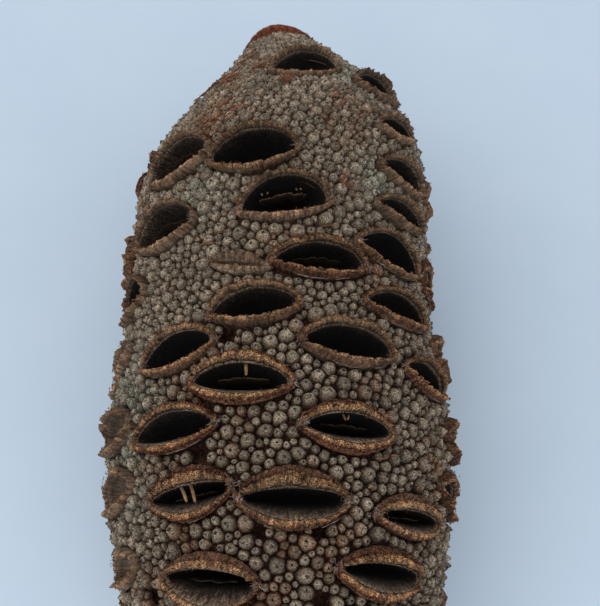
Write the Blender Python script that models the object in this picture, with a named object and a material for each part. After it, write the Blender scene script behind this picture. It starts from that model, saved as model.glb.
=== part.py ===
# A ripe banksia cone, picked and lying on its side, with its tip towards +Y.
# One grown woody body carries hundreds of small round knobs and the open seed follicles.
# A thin loose plate, the seed separator, still stands in some of the follicles.
# Lengths are in metres and angles in degrees. Azimuth 0 is the top of the lying cone, and +90 is +X.

import math
import random

import bmesh
import bpy
import numpy as np
from mathutils import Vector
from mathutils.geometry import delaunay_2d_cdt

# Half outline of the cone from the tip to the cut stalk: distance from the base end, radius.
OUTLINE = [
    (0.1710, 0.0000),
    (0.1705, 0.0035),
    (0.1675, 0.0075),
    (0.1625, 0.0110),
    (0.1570, 0.0148),
    (0.1505, 0.0192),
    (0.1435, 0.0245),
    (0.1365, 0.0288),
    (0.1285, 0.0328),
    (0.1200, 0.0354),
    (0.1100, 0.0361),
    (0.0960, 0.0360),
    (0.0810, 0.0360),
    (0.0660, 0.0373),
    (0.0510, 0.0385),
    (0.0370, 0.0377),
    (0.0240, 0.0359),
    (0.0140, 0.0335),
    (0.0065, 0.0305),
    (0.0015, 0.0265),
    (-0.0008, 0.0215),
    (-0.0020, 0.0140),
    (-0.0028, 0.0090),
    (-0.0055, 0.0074),
    (-0.0095, 0.0070),
]
# The shoulder is fuller on its right side: how far the middle of the cone stands to the right.
LEAN = [
    (0.000, 0.0015),
    (0.030, 0.0003),
    (0.060, 0.0000),
    (0.091, -0.0005),
    (0.112, 0.0000),
    (0.127, 0.0023),
    (0.142, 0.0045),
    (0.157, 0.0018),
    (0.171, -0.0016),
]
AXIS_HEIGHT = 0.0390  # the lowest lips are worn flat this far below the axis
MIDDLE_Y = 0.0812  # half way between the tip and the stalk's end, which is the part's origin

TIP_KNOB_PITCH = 0.0043
KNOB_PITCH = 0.0046  # larger than life, as all the knobs are
KNOB_STEEPNESS = 0.50  # a knob's height over the pitch
KNOB_CLEARANCE = 0.0012  # from a knob's middle to a follicle's foot
# Distances along the outline, the first two from the tip and the last from the stalk's end.
KNOBS_FROM = 0.004
FULL_KNOBS_FROM = 0.070
KNOBS_TO = 0.0130
# The plain rings at the crown, at the stalk's foot and round the stalk: distance, points.
CROWN_RING = (0.0018, 6)
STALK_RINGS = [(0.0105, 12), (0.0070, 12), (0.0038, 12), (0.0, 12)]
GOLDEN_ANGLE = math.pi * (3 - math.sqrt(5))

LIP_HEIGHT = 0.0034  # how far the lips stand out of the cone
LIP_VARIATION = 0.0005
MOUTH_LEVEL = 0.0016
CLOSED_MOUTH_LEVEL = 0.0024
CAVITY_DEPTH = 0.0080
CLOSED_DEPTH = 0.0012
FOOT_WIDENING = 1.06  # the foot's width over the measured width of the lips
LENS_PINCH = 0.30  # how much narrower the follicle is at its corners than an ellipse

# The follicles in view: azimuth, distance from the base end, width and tilt, then how far the foot and
# the mouth reach from the middle towards the tip, and the mouth and the foot towards the base.
FOLLICLES_IN_VIEW = [
    (5, 0.1375, 0.0175, 14, 0.0092, 0.0080, 0.0034, 0.0052),
    (45, 0.1355, 0.0160, 5, 0.0070, 0.0058, 0.0030, 0.0046),
    (-9, 0.1078, 0.0205, 7, 0.0068, 0.0054, 0.0036, 0.0054),
    (-41, 0.1101, 0.0195, 8, 0.0074, 0.0060, 0.0034, 0.0054),
    (49, 0.1220, 0.0145, 10, 0.0044, 0.0028, 0.0014, 0.0030),
    (3, 0.0942, 0.0210, 10, 0.0078, 0.0066, 0.0026, 0.0044),
    (55, 0.1105, 0.0195, 4, 0.0048, 0.0034, 0.0028, 0.0042),
    (53, 0.0993, 0.0195, 3, 0.0044, 0.0028, 0.0024, 0.0036),
    (-47, 0.0934, 0.0215, -3, 0.0074, 0.0058, 0.0036, 0.0056),
    (15, 0.0803, 0.0215, 3, 0.0066, 0.0042, 0.0027, 0.0047),
    (46, 0.0868, 0.0215, -3, 0.0062, 0.0050, 0.0032, 0.0046),
    (-70, 0.0806, 0.0190, -2, 0.0066, 0.0050, 0.0036, 0.0052),
    (-13, 0.0793, 0.0130, -12, 0.0034, 0.0007, 0.0005, 0.0024),
    (-7, 0.0683, 0.0195, 6, 0.0066, 0.0043, 0.0025, 0.0045),
    (46, 0.0722, 0.0210, 1, 0.0060, 0.0044, 0.0018, 0.0038),
    (-34, 0.0604, 0.0195, 8, 0.0065, 0.0043, 0.0030, 0.0050),
    (23, 0.0604, 0.0210, -2, 0.0066, 0.0044, 0.0028, 0.0049),
    (-73, 0.0640, 0.0185, 18, 0.0056, 0.0030, 0.0026, 0.0046),
    (-11, 0.0518, 0.0215, -3, 0.0064, 0.0036, 0.0028, 0.0053),
    (58, 0.0585, 0.0185, -1, 0.0050, 0.0033, 0.0030, 0.0044),
    (-34, 0.0432, 0.0215, 2, 0.0057, 0.0037, 0.0025, 0.0046),
    (22, 0.0428, 0.0205, 0, 0.0056, 0.0028, 0.0028, 0.0056),
    (-67, 0.0480, 0.0190, -3, 0.0058, 0.0040, 0.0034, 0.0050),
    (-28, 0.0304, 0.0190, 5, 0.0052, 0.0013, 0.0035, 0.0057),
    (5, 0.0285, 0.0215, 0, 0.0060, 0.0016, 0.0040, 0.0064),
    (47, 0.0272, 0.0200, 4, 0.0050, 0.0013, 0.0026, 0.0044),
    (-67, 0.0347, 0.0190, 2, 0.0054, 0.0034, 0.0028, 0.0048),
    (-24, 0.0140, 0.0200, -7, 0.0054, 0.0020, 0.0042, 0.0060),
    (36, 0.0160, 0.0205, 2, 0.0050, 0.0016, 0.0032, 0.0056),
    (-68, 0.0190, 0.0155, 3, 0.0044, 0.0022, 0.0022, 0.0040),
    (77, 0.0352, 0.0185, -4, 0.0056, 0.0030, 0.0028, 0.0050),
    (83, 0.0490, 0.0180, 6, 0.0058, 0.0030, 0.0028, 0.0052),
]
FULL_VIEW = 80  # the list above is complete this far to either side of the top
SPACING_ROUND = 0.0222  # least spacing of the follicles out of view, round and along the cone
SPACING_ALONG = 0.0150
FOLLICLES_FROM = 0.0120
FOLLICLES_TO = 0.1280
FOLLICLE_TRIALS = 6000
FOLLICLE_SEED = 11
HIDDEN_WIDTHS = (0.0180, 0.0205)
HIDDEN_TILTS = (-7, 9)
HIDDEN_HEIGHTS = (0.0120, 0.0130)
HIDDEN_GAPES = (0.0044, 0.0062)
TIP_SIDE_SHARE = 0.56  # of their height and gape, as the lip on the tip's side arches more

# The rings of a follicle, from its foot in: points, and share of the foot's width.
FOOT, CREST, MOUTH, FLOOR = range(4)
RING_POINTS = (12, 12, 12, 6)
RING_WIDTH = (1.0, 0.94, 0.84, 0.60)
CREST_SHARE = 0.68  # of the way from the mouth to the foot
FLOOR_HALF_HEIGHT = 0.0017
FLOOR_TO_GAPE = 0.7  # at most
CORNER_DROP = 0.35  # how much lower the lips are at the two corners, where the valves part
LEAST_OPEN_GAPE = 0.003

# The follicles, by their place in the list above, that still hold their separator.
SEPARATORS_IN = (3, 5, 8, 9, 18, 21, 23, 25, 27)
SEPARATOR_THICKNESS = 0.0008
SEPARATOR_PLACE = 0.2  # towards the tip, as a share of half the gape
# Outline of a separator: share of the foot's half width, height over the cone's surface.
SEPARATOR_OUTLINE = [
    (-0.28, -0.0068),
    (0.28, -0.0068),
    (0.42, -0.0040),
    (0.46, -0.0014),
    (0.20, -0.0008),
    (0.13, 0.0010),
    (0.06, 0.0010),
    (0.00, -0.0010),
    (-0.06, 0.0007),
    (-0.13, 0.0007),
    (-0.20, -0.0009),
    (-0.46, -0.0016),
    (-0.42, -0.0042),
]

WOOD_COLOUR = (0.155, 0.105, 0.070, 1.0)
SEPARATOR_COLOUR = (0.260, 0.190, 0.130, 1.0)


def clear_scene():
    for thing in list(bpy.data.objects):
        bpy.data.objects.remove(thing)


def new_collection(name):
    collection = bpy.data.collections.new(name)
    bpy.context.scene.collection.children.link(collection)
    return collection


def wood_material(name, colour, roughness):
    material = bpy.data.materials.new(name)
    material.use_nodes = True
    shader = material.node_tree.nodes["Principled BSDF"]
    shader.inputs["Base Color"].default_value = colour
    shader.inputs["Roughness"].default_value = roughness
    shader.inputs["Metallic"].default_value = 0.0
    material.diffuse_color = colour
    return material


def knob_pitch(distance):
    """The knobs are small at the tip and grow to their full size on the shoulder."""
    grown = min(1.0, distance / FULL_KNOBS_FROM)
    return TIP_KNOB_PITCH + (KNOB_PITCH - TIP_KNOB_PITCH) * grown


def knob_share(distance):
    """One knob's share of the surface, in an even six-sided packing."""
    return knob_pitch(distance) ** 2 * math.sqrt(3) / 2


class Skin:
    """The cone's smooth surface, unrolled: azimuth in radians, and distance along the outline."""

    STEPS = 24  # samples between two points of the outline
    LEAST_RADIUS = 1e-4

    def __init__(self):
        points = np.array(OUTLINE)
        mirrored = points[1] * (1, -1)
        ends = np.vstack([mirrored, points, points[-1]])
        samples = []
        for k in range(1, len(ends) - 2):
            before, start, stop, after = ends[k - 1 : k + 3]
            for step in range(self.STEPS):
                s = step / self.STEPS
                bend = (2 * before - 5 * start + 4 * stop - after) * s * s
                twist = (3 * start - before - 3 * stop + after) * s * s * s
                samples.append(start + 0.5 * ((stop - before) * s + bend + twist))
        samples.append(points[-1])
        samples = np.array(samples)
        self.along, self.radius = samples.T
        steps = np.diff(samples, axis=0)
        lengths = np.hypot(*steps.T)
        self.distance = np.concatenate([[0], np.cumsum(lengths)])
        slope = np.gradient(samples, self.distance, axis=0)
        slope /= np.linalg.norm(slope, axis=1)[:, None]
        self.normal_along = slope[:, 1]
        self.normal_out = -slope[:, 0]
        middle = (self.radius[1:] + self.radius[:-1]) / 2
        shares = np.array([knob_share(place) for place in self.distance[1:]])
        counts = np.cumsum(2 * math.pi * middle * lengths / shares)
        self.knobs = np.concatenate([[0], counts])
        swell = np.cumsum(lengths / np.maximum(middle, self.LEAST_RADIUS))
        self.swell = np.concatenate([[0], swell])
        self.length = self.distance[-1]

    def radius_at(self, distance):
        return float(np.interp(distance, self.distance, self.radius))

    def distance_at(self, along):
        """Where the side of the cone is this far from the base end."""
        return float(np.interp(-along, -self.along, self.distance))

    def net(self, azimuth, distance):
        """The point in a flat net that keeps the angles of the surface."""
        reach = math.exp(float(np.interp(distance, self.distance, self.swell) - self.swell[-1]))
        return Vector((reach * math.cos(azimuth), reach * math.sin(azimuth)))

    def point(self, azimuth, distance, height):
        where = [
            np.interp(distance, self.distance, values)
            for values in (self.along, self.radius, self.normal_along, self.normal_out)
        ]
        along = where[0] + height * where[2]
        radius = where[1] + height * where[3]
        lean = np.interp(where[0], [place for place, _ in LEAN], [side for _, side in LEAN])
        return Vector(
            (
                lean + radius * math.sin(azimuth),
                along - MIDDLE_Y,
                AXIS_HEIGHT + radius * math.cos(azimuth),
            )
        )


class Follicle:
    def __init__(self, skin, azimuth, along, width, tilt, reaches, lift):
        self.azimuth = math.radians(azimuth)
        self.along = along
        self.distance = skin.distance_at(along)
        self.radius = skin.radius_at(self.distance)
        self.half_width = width * FOOT_WIDENING / 2
        self.tilt = math.radians(tilt)
        self.tip_foot, self.tip_mouth, self.base_mouth, self.base_foot = reaches
        self.mouth_middle = (self.tip_mouth - self.base_mouth) / 2
        self.half_gape = (self.tip_mouth + self.base_mouth) / 2
        self.is_open = self.half_gape * 2 > LEAST_OPEN_GAPE
        self.lift = lift

    def spot(self, across, up):
        """Azimuth and distance of a point given in the follicle's own frame, on its surface."""
        round_way = across * math.cos(self.tilt) - up * math.sin(self.tilt)
        tip_way = across * math.sin(self.tilt) + up * math.cos(self.tilt)
        return self.azimuth + round_way / self.radius, self.distance - tip_way

    def own_frame(self, azimuth, distance):
        turn = (azimuth - self.azimuth + math.pi) % (2 * math.pi) - math.pi
        round_way = turn * self.radius
        tip_way = self.distance - distance
        across = round_way * math.cos(self.tilt) + tip_way * math.sin(self.tilt)
        up = tip_way * math.cos(self.tilt) - round_way * math.sin(self.tilt)
        return across, up

    def covers(self, azimuth, distance, margin):
        across, up = self.own_frame(azimuth, distance)
        reach = self.tip_foot if up > 0 else self.base_foot
        place = abs(across) / (self.half_width + margin)
        if place >= 1:
            return False
        pinch = 1 - LENS_PINCH * place**2
        return abs(up) < reach * pinch * math.sqrt(1 - place**2) + margin

    def ring(self, kind):
        """The spots of one ring and the height of each, counter-clockwise from the right corner."""
        floor_reach = min(FLOOR_HALF_HEIGHT, self.half_gape * FLOOR_TO_GAPE)
        tip_side = (
            self.tip_foot,
            self.tip_mouth + (self.tip_foot - self.tip_mouth) * CREST_SHARE,
            self.tip_mouth,
            floor_reach,
        )
        base_side = (
            self.base_foot,
            self.base_mouth + (self.base_foot - self.base_mouth) * CREST_SHARE,
            self.base_mouth,
            floor_reach,
        )
        mouth = MOUTH_LEVEL if self.is_open else CLOSED_MOUTH_LEVEL
        floor = -CAVITY_DEPTH if self.is_open else -CLOSED_DEPTH
        heights = (0.0, self.lift, mouth, floor)
        count = RING_POINTS[kind]
        spots = []
        for k in range(count):
            turn = 2 * math.pi * k / count
            reach = tip_side[kind] if math.sin(turn) > 0 else base_side[kind]
            pinch = 1 - LENS_PINCH * math.cos(turn) ** 2
            across = self.half_width * RING_WIDTH[kind] * math.cos(turn)
            up = reach * pinch * math.sin(turn)
            if kind == FLOOR:
                up += self.mouth_middle
            height = heights[kind]
            if kind == CREST:
                height *= 1 - CORNER_DROP * math.cos(turn) ** 6
            spots.append((*self.spot(across, up), height))
        return spots


def follicles_of(skin):
    rng = random.Random(FOLLICLE_SEED)
    found = []
    for azimuth, along, width, tilt, *reaches in FOLLICLES_IN_VIEW:
        lift = LIP_HEIGHT + LIP_VARIATION * rng.uniform(-1, 1)
        found.append(Follicle(skin, azimuth, along, width, tilt, reaches, lift))
    trials = []
    for _ in range(FOLLICLE_TRIALS):
        along = rng.uniform(FOLLICLES_FROM, FOLLICLES_TO)
        trials.append((along, rng.uniform(-180, 180)))
    for along, azimuth in sorted(trials):
        radius = skin.radius_at(skin.distance_at(along))
        clear = abs(azimuth) > FULL_VIEW
        for other in found:
            turn = (math.radians(azimuth) - other.azimuth + math.pi) % (2 * math.pi) - math.pi
            apart = math.hypot(turn * radius / SPACING_ROUND, (along - other.along) / SPACING_ALONG)
            clear = clear and apart >= 1
        if clear:
            width = rng.uniform(*HIDDEN_WIDTHS)
            tilt = rng.uniform(*HIDDEN_TILTS)
            height = rng.uniform(*HIDDEN_HEIGHTS)
            gape = rng.uniform(*HIDDEN_GAPES)
            lift = LIP_HEIGHT + LIP_VARIATION * rng.uniform(-1, 1)
            tip_side = [height * TIP_SIDE_SHARE, gape * TIP_SIDE_SHARE]
            base_side = [gape * (1 - TIP_SIDE_SHARE), height * (1 - TIP_SIDE_SHARE)]
            found.append(Follicle(skin, azimuth, along, width, tilt, tip_side + base_side, lift))
    return found


def knob_spots(skin, follicles):
    """Knobs on a spiral at the golden angle, none of them on a follicle."""
    first = math.ceil(np.interp(KNOBS_FROM, skin.distance, skin.knobs))
    last = math.floor(np.interp(skin.length - KNOBS_TO, skin.distance, skin.knobs))
    spots = []
    for k in range(first, last):
        distance = float(np.interp(k, skin.knobs, skin.distance))
        azimuth = (k * GOLDEN_ANGLE) % (2 * math.pi)
        if not any(one.covers(azimuth, distance, KNOB_CLEARANCE) for one in follicles):
            spots.append((azimuth, distance, knob_pitch(distance) * KNOB_STEEPNESS))
    return spots


def end_rings(skin):
    """Plain rings at the tip's crown and round the cut stalk."""
    places = [CROWN_RING] + [(skin.length - back, count) for back, count in STALK_RINGS]
    rings = []
    for distance, count in places:
        rings.append([(2 * math.pi * k / count, distance, 0.0) for k in range(count)])
    return rings


def triangles_between(skin, spots, edges):
    """Fills the net between the spots with triangles, keeping the edges given."""
    flat = [skin.net(azimuth, distance) for azimuth, distance, _ in spots]
    flat.append(Vector((0.0, 0.0)))  # the pole at the tip
    result = delaunay_2d_cdt(flat, edges, [], 0, 1e-12)
    if len(result[0]) != len(flat):
        raise RuntimeError("two spots of the net fall together, or two edges cross")
    source = [origin[0] for origin in result[3]]
    return [[source[k] for k in face] for face in result[2]]


def cone_net(skin, follicles):
    """All spots of the cone's surface, and the triangles between them."""
    rings = [one.ring(kind) for one in follicles for kind in (FOOT, CREST, MOUTH, FLOOR)]
    rings += end_rings(skin)
    spots = []
    edges = []
    for ring in rings:
        start = len(spots)
        spots += ring
        edges += [(start + k, start + (k + 1) % len(ring)) for k in range(len(ring))]
    knobs = knob_spots(skin, follicles)
    first_knob = len(spots)
    spots += knobs
    last_knob = len(spots)
    # a dip between each three knobs that stand together
    dips = []
    for face in triangles_between(skin, spots, edges):
        if all(first_knob <= k < last_knob for k in face):
            turns = [spots[k][0] for k in face]
            middle = math.atan2(sum(map(math.sin, turns)), sum(map(math.cos, turns)))
            dips.append((middle, sum(spots[k][1] for k in face) / 3, 0.0))
    spots += dips
    return spots, triangles_between(skin, spots, edges)


def cone(collection):
    skin = Skin()
    follicles = follicles_of(skin)
    spots, faces = cone_net(skin, follicles)
    points = [skin.point(*spot) for spot in spots]
    points.append(skin.point(0.0, 0.0, 0.0))
    for point in points:
        point.z = max(point.z, 0.0)  # what would reach lower is worn flat
    mesh = bpy.data.meshes.new("cone")
    build = bmesh.new()
    corners = [build.verts.new(point) for point in points]
    for face in faces:
        build.faces.new([corners[k] for k in face])
    bmesh.ops.holes_fill(build, edges=[edge for edge in build.edges if edge.is_boundary])
    bmesh.ops.triangulate(build, faces=[face for face in build.faces if len(face.verts) > 3])
    bmesh.ops.recalc_face_normals(build, faces=build.faces)
    build.to_mesh(mesh)
    build.free()
    obj = bpy.data.objects.new("cone", mesh)
    collection.objects.link(obj)
    mesh.materials.append(wood_material("weathered wood", WOOD_COLOUR, 0.85))
    return skin, follicles


def separator(collection, skin, follicle, name, material):
    """A thin winged plate with two prongs, standing across the middle of the open follicle."""
    middle = skin.point(follicle.azimuth, follicle.distance, 0.0)
    above = skin.point(follicle.azimuth, follicle.distance, 0.001)
    out = (above - middle).normalized()
    tip_way = skin.point(follicle.azimuth, follicle.distance - 0.001, 0.0) - middle
    tip_way = (tip_way - out * tip_way.dot(out)).normalized()
    round_way = tip_way.cross(out)
    across = round_way * math.cos(follicle.tilt) + tip_way * math.sin(follicle.tilt)
    up = tip_way * math.cos(follicle.tilt) - round_way * math.sin(follicle.tilt)
    build = bmesh.new()
    lower = follicle.mouth_middle + follicle.half_gape * SEPARATOR_PLACE - SEPARATOR_THICKNESS / 2
    outline = []
    for share, height in SEPARATOR_OUTLINE:
        place = middle + across * (share * follicle.half_width) + out * height + up * lower
        outline.append(build.verts.new(place))
    face = build.faces.new(outline)
    raised = bmesh.ops.extrude_face_region(build, geom=[face])["geom"]
    moved = [item for item in raised if isinstance(item, bmesh.types.BMVert)]
    bmesh.ops.translate(build, vec=up * SEPARATOR_THICKNESS, verts=moved)
    bmesh.ops.recalc_face_normals(build, faces=build.faces)
    mesh = bpy.data.meshes.new(name)
    build.to_mesh(mesh)
    build.free()
    mesh.materials.append(material)
    collection.objects.link(bpy.data.objects.new(name, mesh))


def main():
    clear_scene()
    collection = new_collection("banksia cone")
    skin, follicles = cone(collection)
    material = wood_material("separator wood", SEPARATOR_COLOUR, 0.7)
    for number, place in enumerate(SEPARATORS_IN, 1):
        separator(collection, skin, follicles[place], f"separator_{number:02d}", material)


main()
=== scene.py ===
import math
import random

import bpy
import numpy as np
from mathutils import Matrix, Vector, kdtree
from mathutils.geometry import delaunay_2d_cdt


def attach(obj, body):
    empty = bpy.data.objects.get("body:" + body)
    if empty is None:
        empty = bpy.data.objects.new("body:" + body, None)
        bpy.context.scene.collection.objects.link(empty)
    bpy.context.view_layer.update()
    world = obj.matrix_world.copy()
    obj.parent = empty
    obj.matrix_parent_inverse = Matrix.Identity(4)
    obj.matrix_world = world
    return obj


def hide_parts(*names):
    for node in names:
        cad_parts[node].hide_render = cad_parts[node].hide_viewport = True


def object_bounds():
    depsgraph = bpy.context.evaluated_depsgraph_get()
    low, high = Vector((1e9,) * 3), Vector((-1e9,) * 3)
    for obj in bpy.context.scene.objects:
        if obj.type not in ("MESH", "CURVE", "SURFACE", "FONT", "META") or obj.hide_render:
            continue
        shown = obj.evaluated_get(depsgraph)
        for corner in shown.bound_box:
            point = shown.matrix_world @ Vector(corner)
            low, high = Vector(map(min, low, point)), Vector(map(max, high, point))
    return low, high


# The looks of a dry banksia cone: knobs, follicle valves, separators, stray hairs and a rusty crown.
# Lengths are in metres. Azimuth 0 is the top of the lying cone and +90 degrees its right side.
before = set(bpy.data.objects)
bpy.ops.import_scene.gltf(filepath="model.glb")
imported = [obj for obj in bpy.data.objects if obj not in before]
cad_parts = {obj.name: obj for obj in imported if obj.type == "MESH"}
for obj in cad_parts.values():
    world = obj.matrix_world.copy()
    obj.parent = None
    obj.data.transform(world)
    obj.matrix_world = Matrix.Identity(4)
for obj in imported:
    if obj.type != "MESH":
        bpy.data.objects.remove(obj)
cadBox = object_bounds()

mm = 0.001
fullTurn = 2 * math.pi
goldenAngle = math.pi * (3 - math.sqrt(5))


# The smooth form that everything grows from.
coneShape = {
    "outline": [  # distance from the base end and radius, from the tip to the cut stalk
        (0.1710, 0.0000), (0.1705, 0.0035), (0.1675, 0.0075), (0.1625, 0.0110), (0.1570, 0.0148),
        (0.1505, 0.0192), (0.1435, 0.0245), (0.1365, 0.0288), (0.1285, 0.0328), (0.1200, 0.0354),
        (0.1100, 0.0361), (0.0960, 0.0360), (0.0810, 0.0360), (0.0660, 0.0373), (0.0510, 0.0385),
        (0.0370, 0.0377), (0.0240, 0.0359), (0.0140, 0.0335), (0.0065, 0.0305), (0.0015, 0.0265),
        (-0.0008, 0.0215), (-0.0020, 0.0140), (-0.0028, 0.0090), (-0.0055, 0.0074), (-0.0095, 0.0070),
    ],
    "lean": [  # how far the middle stands to the right
        (0.000, 0.0015), (0.030, 0.0003), (0.060, 0.0000), (0.091, -0.0005), (0.112, 0.0000),
        (0.127, 0.0023), (0.142, 0.0045), (0.157, 0.0018), (0.171, -0.0016),
    ],
    "axisHeight": 0.0390,
    "middle": 0.0812,
    "steps": 24,
}


def smoothOutline(shape):
    points = np.array(shape["outline"])
    ends = np.vstack([points[1] * (1, -1), points, points[-1]])
    samples = []
    for k in range(1, len(ends) - 2):
        before, start, stop, after = ends[k - 1 : k + 3]
        for step in range(shape["steps"]):
            s = step / shape["steps"]
            bend = (2 * before - 5 * start + 4 * stop - after) * s * s
            twist = (3 * start - before - 3 * stop + after) * s ** 3
            samples.append(start + 0.5 * ((stop - before) * s + bend + twist))
    samples = np.array(samples + [points[-1]])
    lengths = np.hypot(*np.diff(samples, axis=0).T)
    distance = np.concatenate([[0], np.cumsum(lengths)])
    slope = np.gradient(samples, distance, axis=0)
    slope /= np.linalg.norm(slope, axis=1)[:, None]
    middle = (samples[1:, 1] + samples[:-1, 1]) / 2
    return {
        "along": samples[:, 0], "radius": samples[:, 1], "distance": distance,
        "normalAlong": slope[:, 1], "normalOut": -slope[:, 0],
        "swell": np.concatenate([[0], np.cumsum(lengths / np.maximum(middle, 0.1 * mm))]),
        "rings": fullTurn * middle * lengths,
    }


outline = smoothOutline(coneShape)
coneLength = outline["distance"][-1]  # along the outline, from the tip to the stalk's end


def outlineAt(distance, key):
    return np.interp(distance, outline["distance"], outline[key])


def distanceAt(along):
    return float(np.interp(-along, -outline["along"], outline["distance"]))


def onCone(azimuth, distance, height):
    along = outlineAt(distance, "along")
    radius = outlineAt(distance, "radius") + height * outlineAt(distance, "normalOut")
    lean = np.interp(along, *np.array(coneShape["lean"]).T)
    x = lean + radius * np.sin(azimuth)
    y = along + height * outlineAt(distance, "normalAlong") - coneShape["middle"]
    z = coneShape["axisHeight"] + radius * np.cos(azimuth)
    return np.stack([x, y, np.maximum(z, 0.0)], axis=-1)  # the lowest parts are worn flat


def shortTurn(turn):
    return (turn + math.pi) % fullTurn - math.pi


# Where the follicles stand.
follicleLayout = {
    # azimuth, distance from the base end, width and tilt, then how far the foot and the mouth reach
    # from the middle towards the tip, and the mouth and the foot towards the base
    "inView": [
        (5, 0.1375, 0.0175, 14, 0.0092, 0.0080, 0.0034, 0.0052),
        (45, 0.1355, 0.0160, 5, 0.0070, 0.0058, 0.0030, 0.0046),
        (-9, 0.1078, 0.0205, 7, 0.0068, 0.0054, 0.0036, 0.0054),
        (-41, 0.1101, 0.0195, 8, 0.0074, 0.0060, 0.0034, 0.0054),
        (49, 0.1220, 0.0145, 10, 0.0044, 0.0028, 0.0014, 0.0030),
        (3, 0.0942, 0.0210, 10, 0.0078, 0.0066, 0.0026, 0.0044),
        (55, 0.1105, 0.0195, 4, 0.0048, 0.0034, 0.0028, 0.0042),
        (53, 0.0993, 0.0195, 3, 0.0044, 0.0028, 0.0024, 0.0036),
        (-47, 0.0934, 0.0215, -3, 0.0074, 0.0058, 0.0036, 0.0056),
        (15, 0.0803, 0.0215, 3, 0.0066, 0.0042, 0.0027, 0.0047),
        (46, 0.0868, 0.0215, -3, 0.0062, 0.0050, 0.0032, 0.0046),
        (-70, 0.0806, 0.0190, -2, 0.0066, 0.0050, 0.0036, 0.0052),
        (-13, 0.0793, 0.0130, -12, 0.0034, 0.0007, 0.0005, 0.0024),
        (-7, 0.0683, 0.0195, 6, 0.0066, 0.0043, 0.0025, 0.0045),
        (46, 0.0722, 0.0210, 1, 0.0060, 0.0044, 0.0018, 0.0038),
        (-34, 0.0604, 0.0195, 8, 0.0065, 0.0043, 0.0030, 0.0050),
        (23, 0.0604, 0.0210, -2, 0.0066, 0.0044, 0.0028, 0.0049),
        (-73, 0.0640, 0.0185, 18, 0.0056, 0.0030, 0.0026, 0.0046),
        (-11, 0.0518, 0.0215, -3, 0.0064, 0.0036, 0.0028, 0.0053),
        (58, 0.0585, 0.0185, -1, 0.0050, 0.0033, 0.0030, 0.0044),
        (-34, 0.0432, 0.0215, 2, 0.0057, 0.0037, 0.0025, 0.0046),
        (22, 0.0428, 0.0205, 0, 0.0056, 0.0028, 0.0028, 0.0056),
        (-67, 0.0480, 0.0190, -3, 0.0058, 0.0040, 0.0034, 0.0050),
        (-28, 0.0304, 0.0190, 5, 0.0052, 0.0013, 0.0035, 0.0057),
        (5, 0.0285, 0.0215, 0, 0.0060, 0.0016, 0.0040, 0.0064),
        (47, 0.0272, 0.0200, 4, 0.0050, 0.0013, 0.0026, 0.0044),
        (-67, 0.0347, 0.0190, 2, 0.0054, 0.0034, 0.0028, 0.0048),
        (-24, 0.0140, 0.0200, -7, 0.0054, 0.0020, 0.0042, 0.0060),
        (36, 0.0160, 0.0205, 2, 0.0050, 0.0016, 0.0032, 0.0056),
        (-68, 0.0190, 0.0155, 3, 0.0044, 0.0022, 0.0022, 0.0040),
        (77, 0.0352, 0.0185, -4, 0.0056, 0.0030, 0.0028, 0.0050),
        (83, 0.0490, 0.0180, 6, 0.0058, 0.0030, 0.0028, 0.0052),
    ],
    "fullView": 80,  # the list is complete this far to either side of the top; the others are random
    "spacingRound": 0.0222,
    "spacingAlong": 0.0150,
    "from": 0.0120,
    "to": 0.1280,
    "trials": 6000,
    "seed": 11,
    "characterSeed": 23,
    "widths": (0.0180, 0.0205),
    "tilts": (-7, 9),
    "heights": (0.0120, 0.0130),
    "gapes": (0.0044, 0.0062),
    "lift": 0.0034,
    "liftVariation": 0.0005,
    "footWidening": 1.06,
    "tipSideShare": 0.56,
    "leastOpenGape": 0.003,  # a follicle that gapes less than this has stayed closed
    "pinches": ((0.25, 0.42), (0.20, 0.36)),  # how fast the outline narrows to the left and the right
    "mouthPinches": ((0.30, 0.50), (-0.15, 0.20)),
    "skew": 0.04,
    "sideBlend": 3.5,  # how sharply the tip's side turns into the base's side at the corners
    "lipRise": ((0.0, 0.15, 0.45, 0.75, 1.0), (0.45, 0.70, 0.90, 0.84, 0.45)),  # from mouth to foot
    "lipCorner": 0.4,  # how much lower a lip is at its corners
    "felted": {  # how grey some are, by place in the list
        2: 0.25, 9: 0.05, 10: 0.2, 12: 0.85, 17: 0.5, 22: 0.45, 26: 0.45, 29: 0.5,
    },
    "wornRows": 12,  # the ones nearest the tip have weathered greyer
    "wornFelt": 0.42,
    "freshFelt": 0.25,  # the greyest of the others
    "clogged": (17, 22, 26, 29),
    "paleWalls": {  # how far the wall on the tip's side is kept brown, where others are painted black as shade in the hollow
        0: 0.3, 2: 0.45, 3: 0.8, 5: 0.3, 6: 0.5, 7: 0.5, 8: 0.9, 9: 0.35, 13: 0.5, 16: 0.3, 20: 0.5,
    },
    "otherWalls": (0.1, 0.2),  # likewise, of the others in view and of those behind
    "lipLifts": {  # how high the lips of some stand on the tip's and on the base's side
        0: (1.12, 0.42), 1: (1.05, 0.70), 4: (1.0, 0.75), 2: (1.05, 0.88), 5: (1.05, 0.90),
        12: (0.75, 0.75), 17: (0.75, 0.70), 29: (0.70, 0.70),
    },
}


def tipSideOf(turns):
    # 1 on the side of the tip and 0 on the side of the base
    return 0.5 + 0.5 * np.tanh(follicleLayout["sideBlend"] * np.sin(turns))


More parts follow.
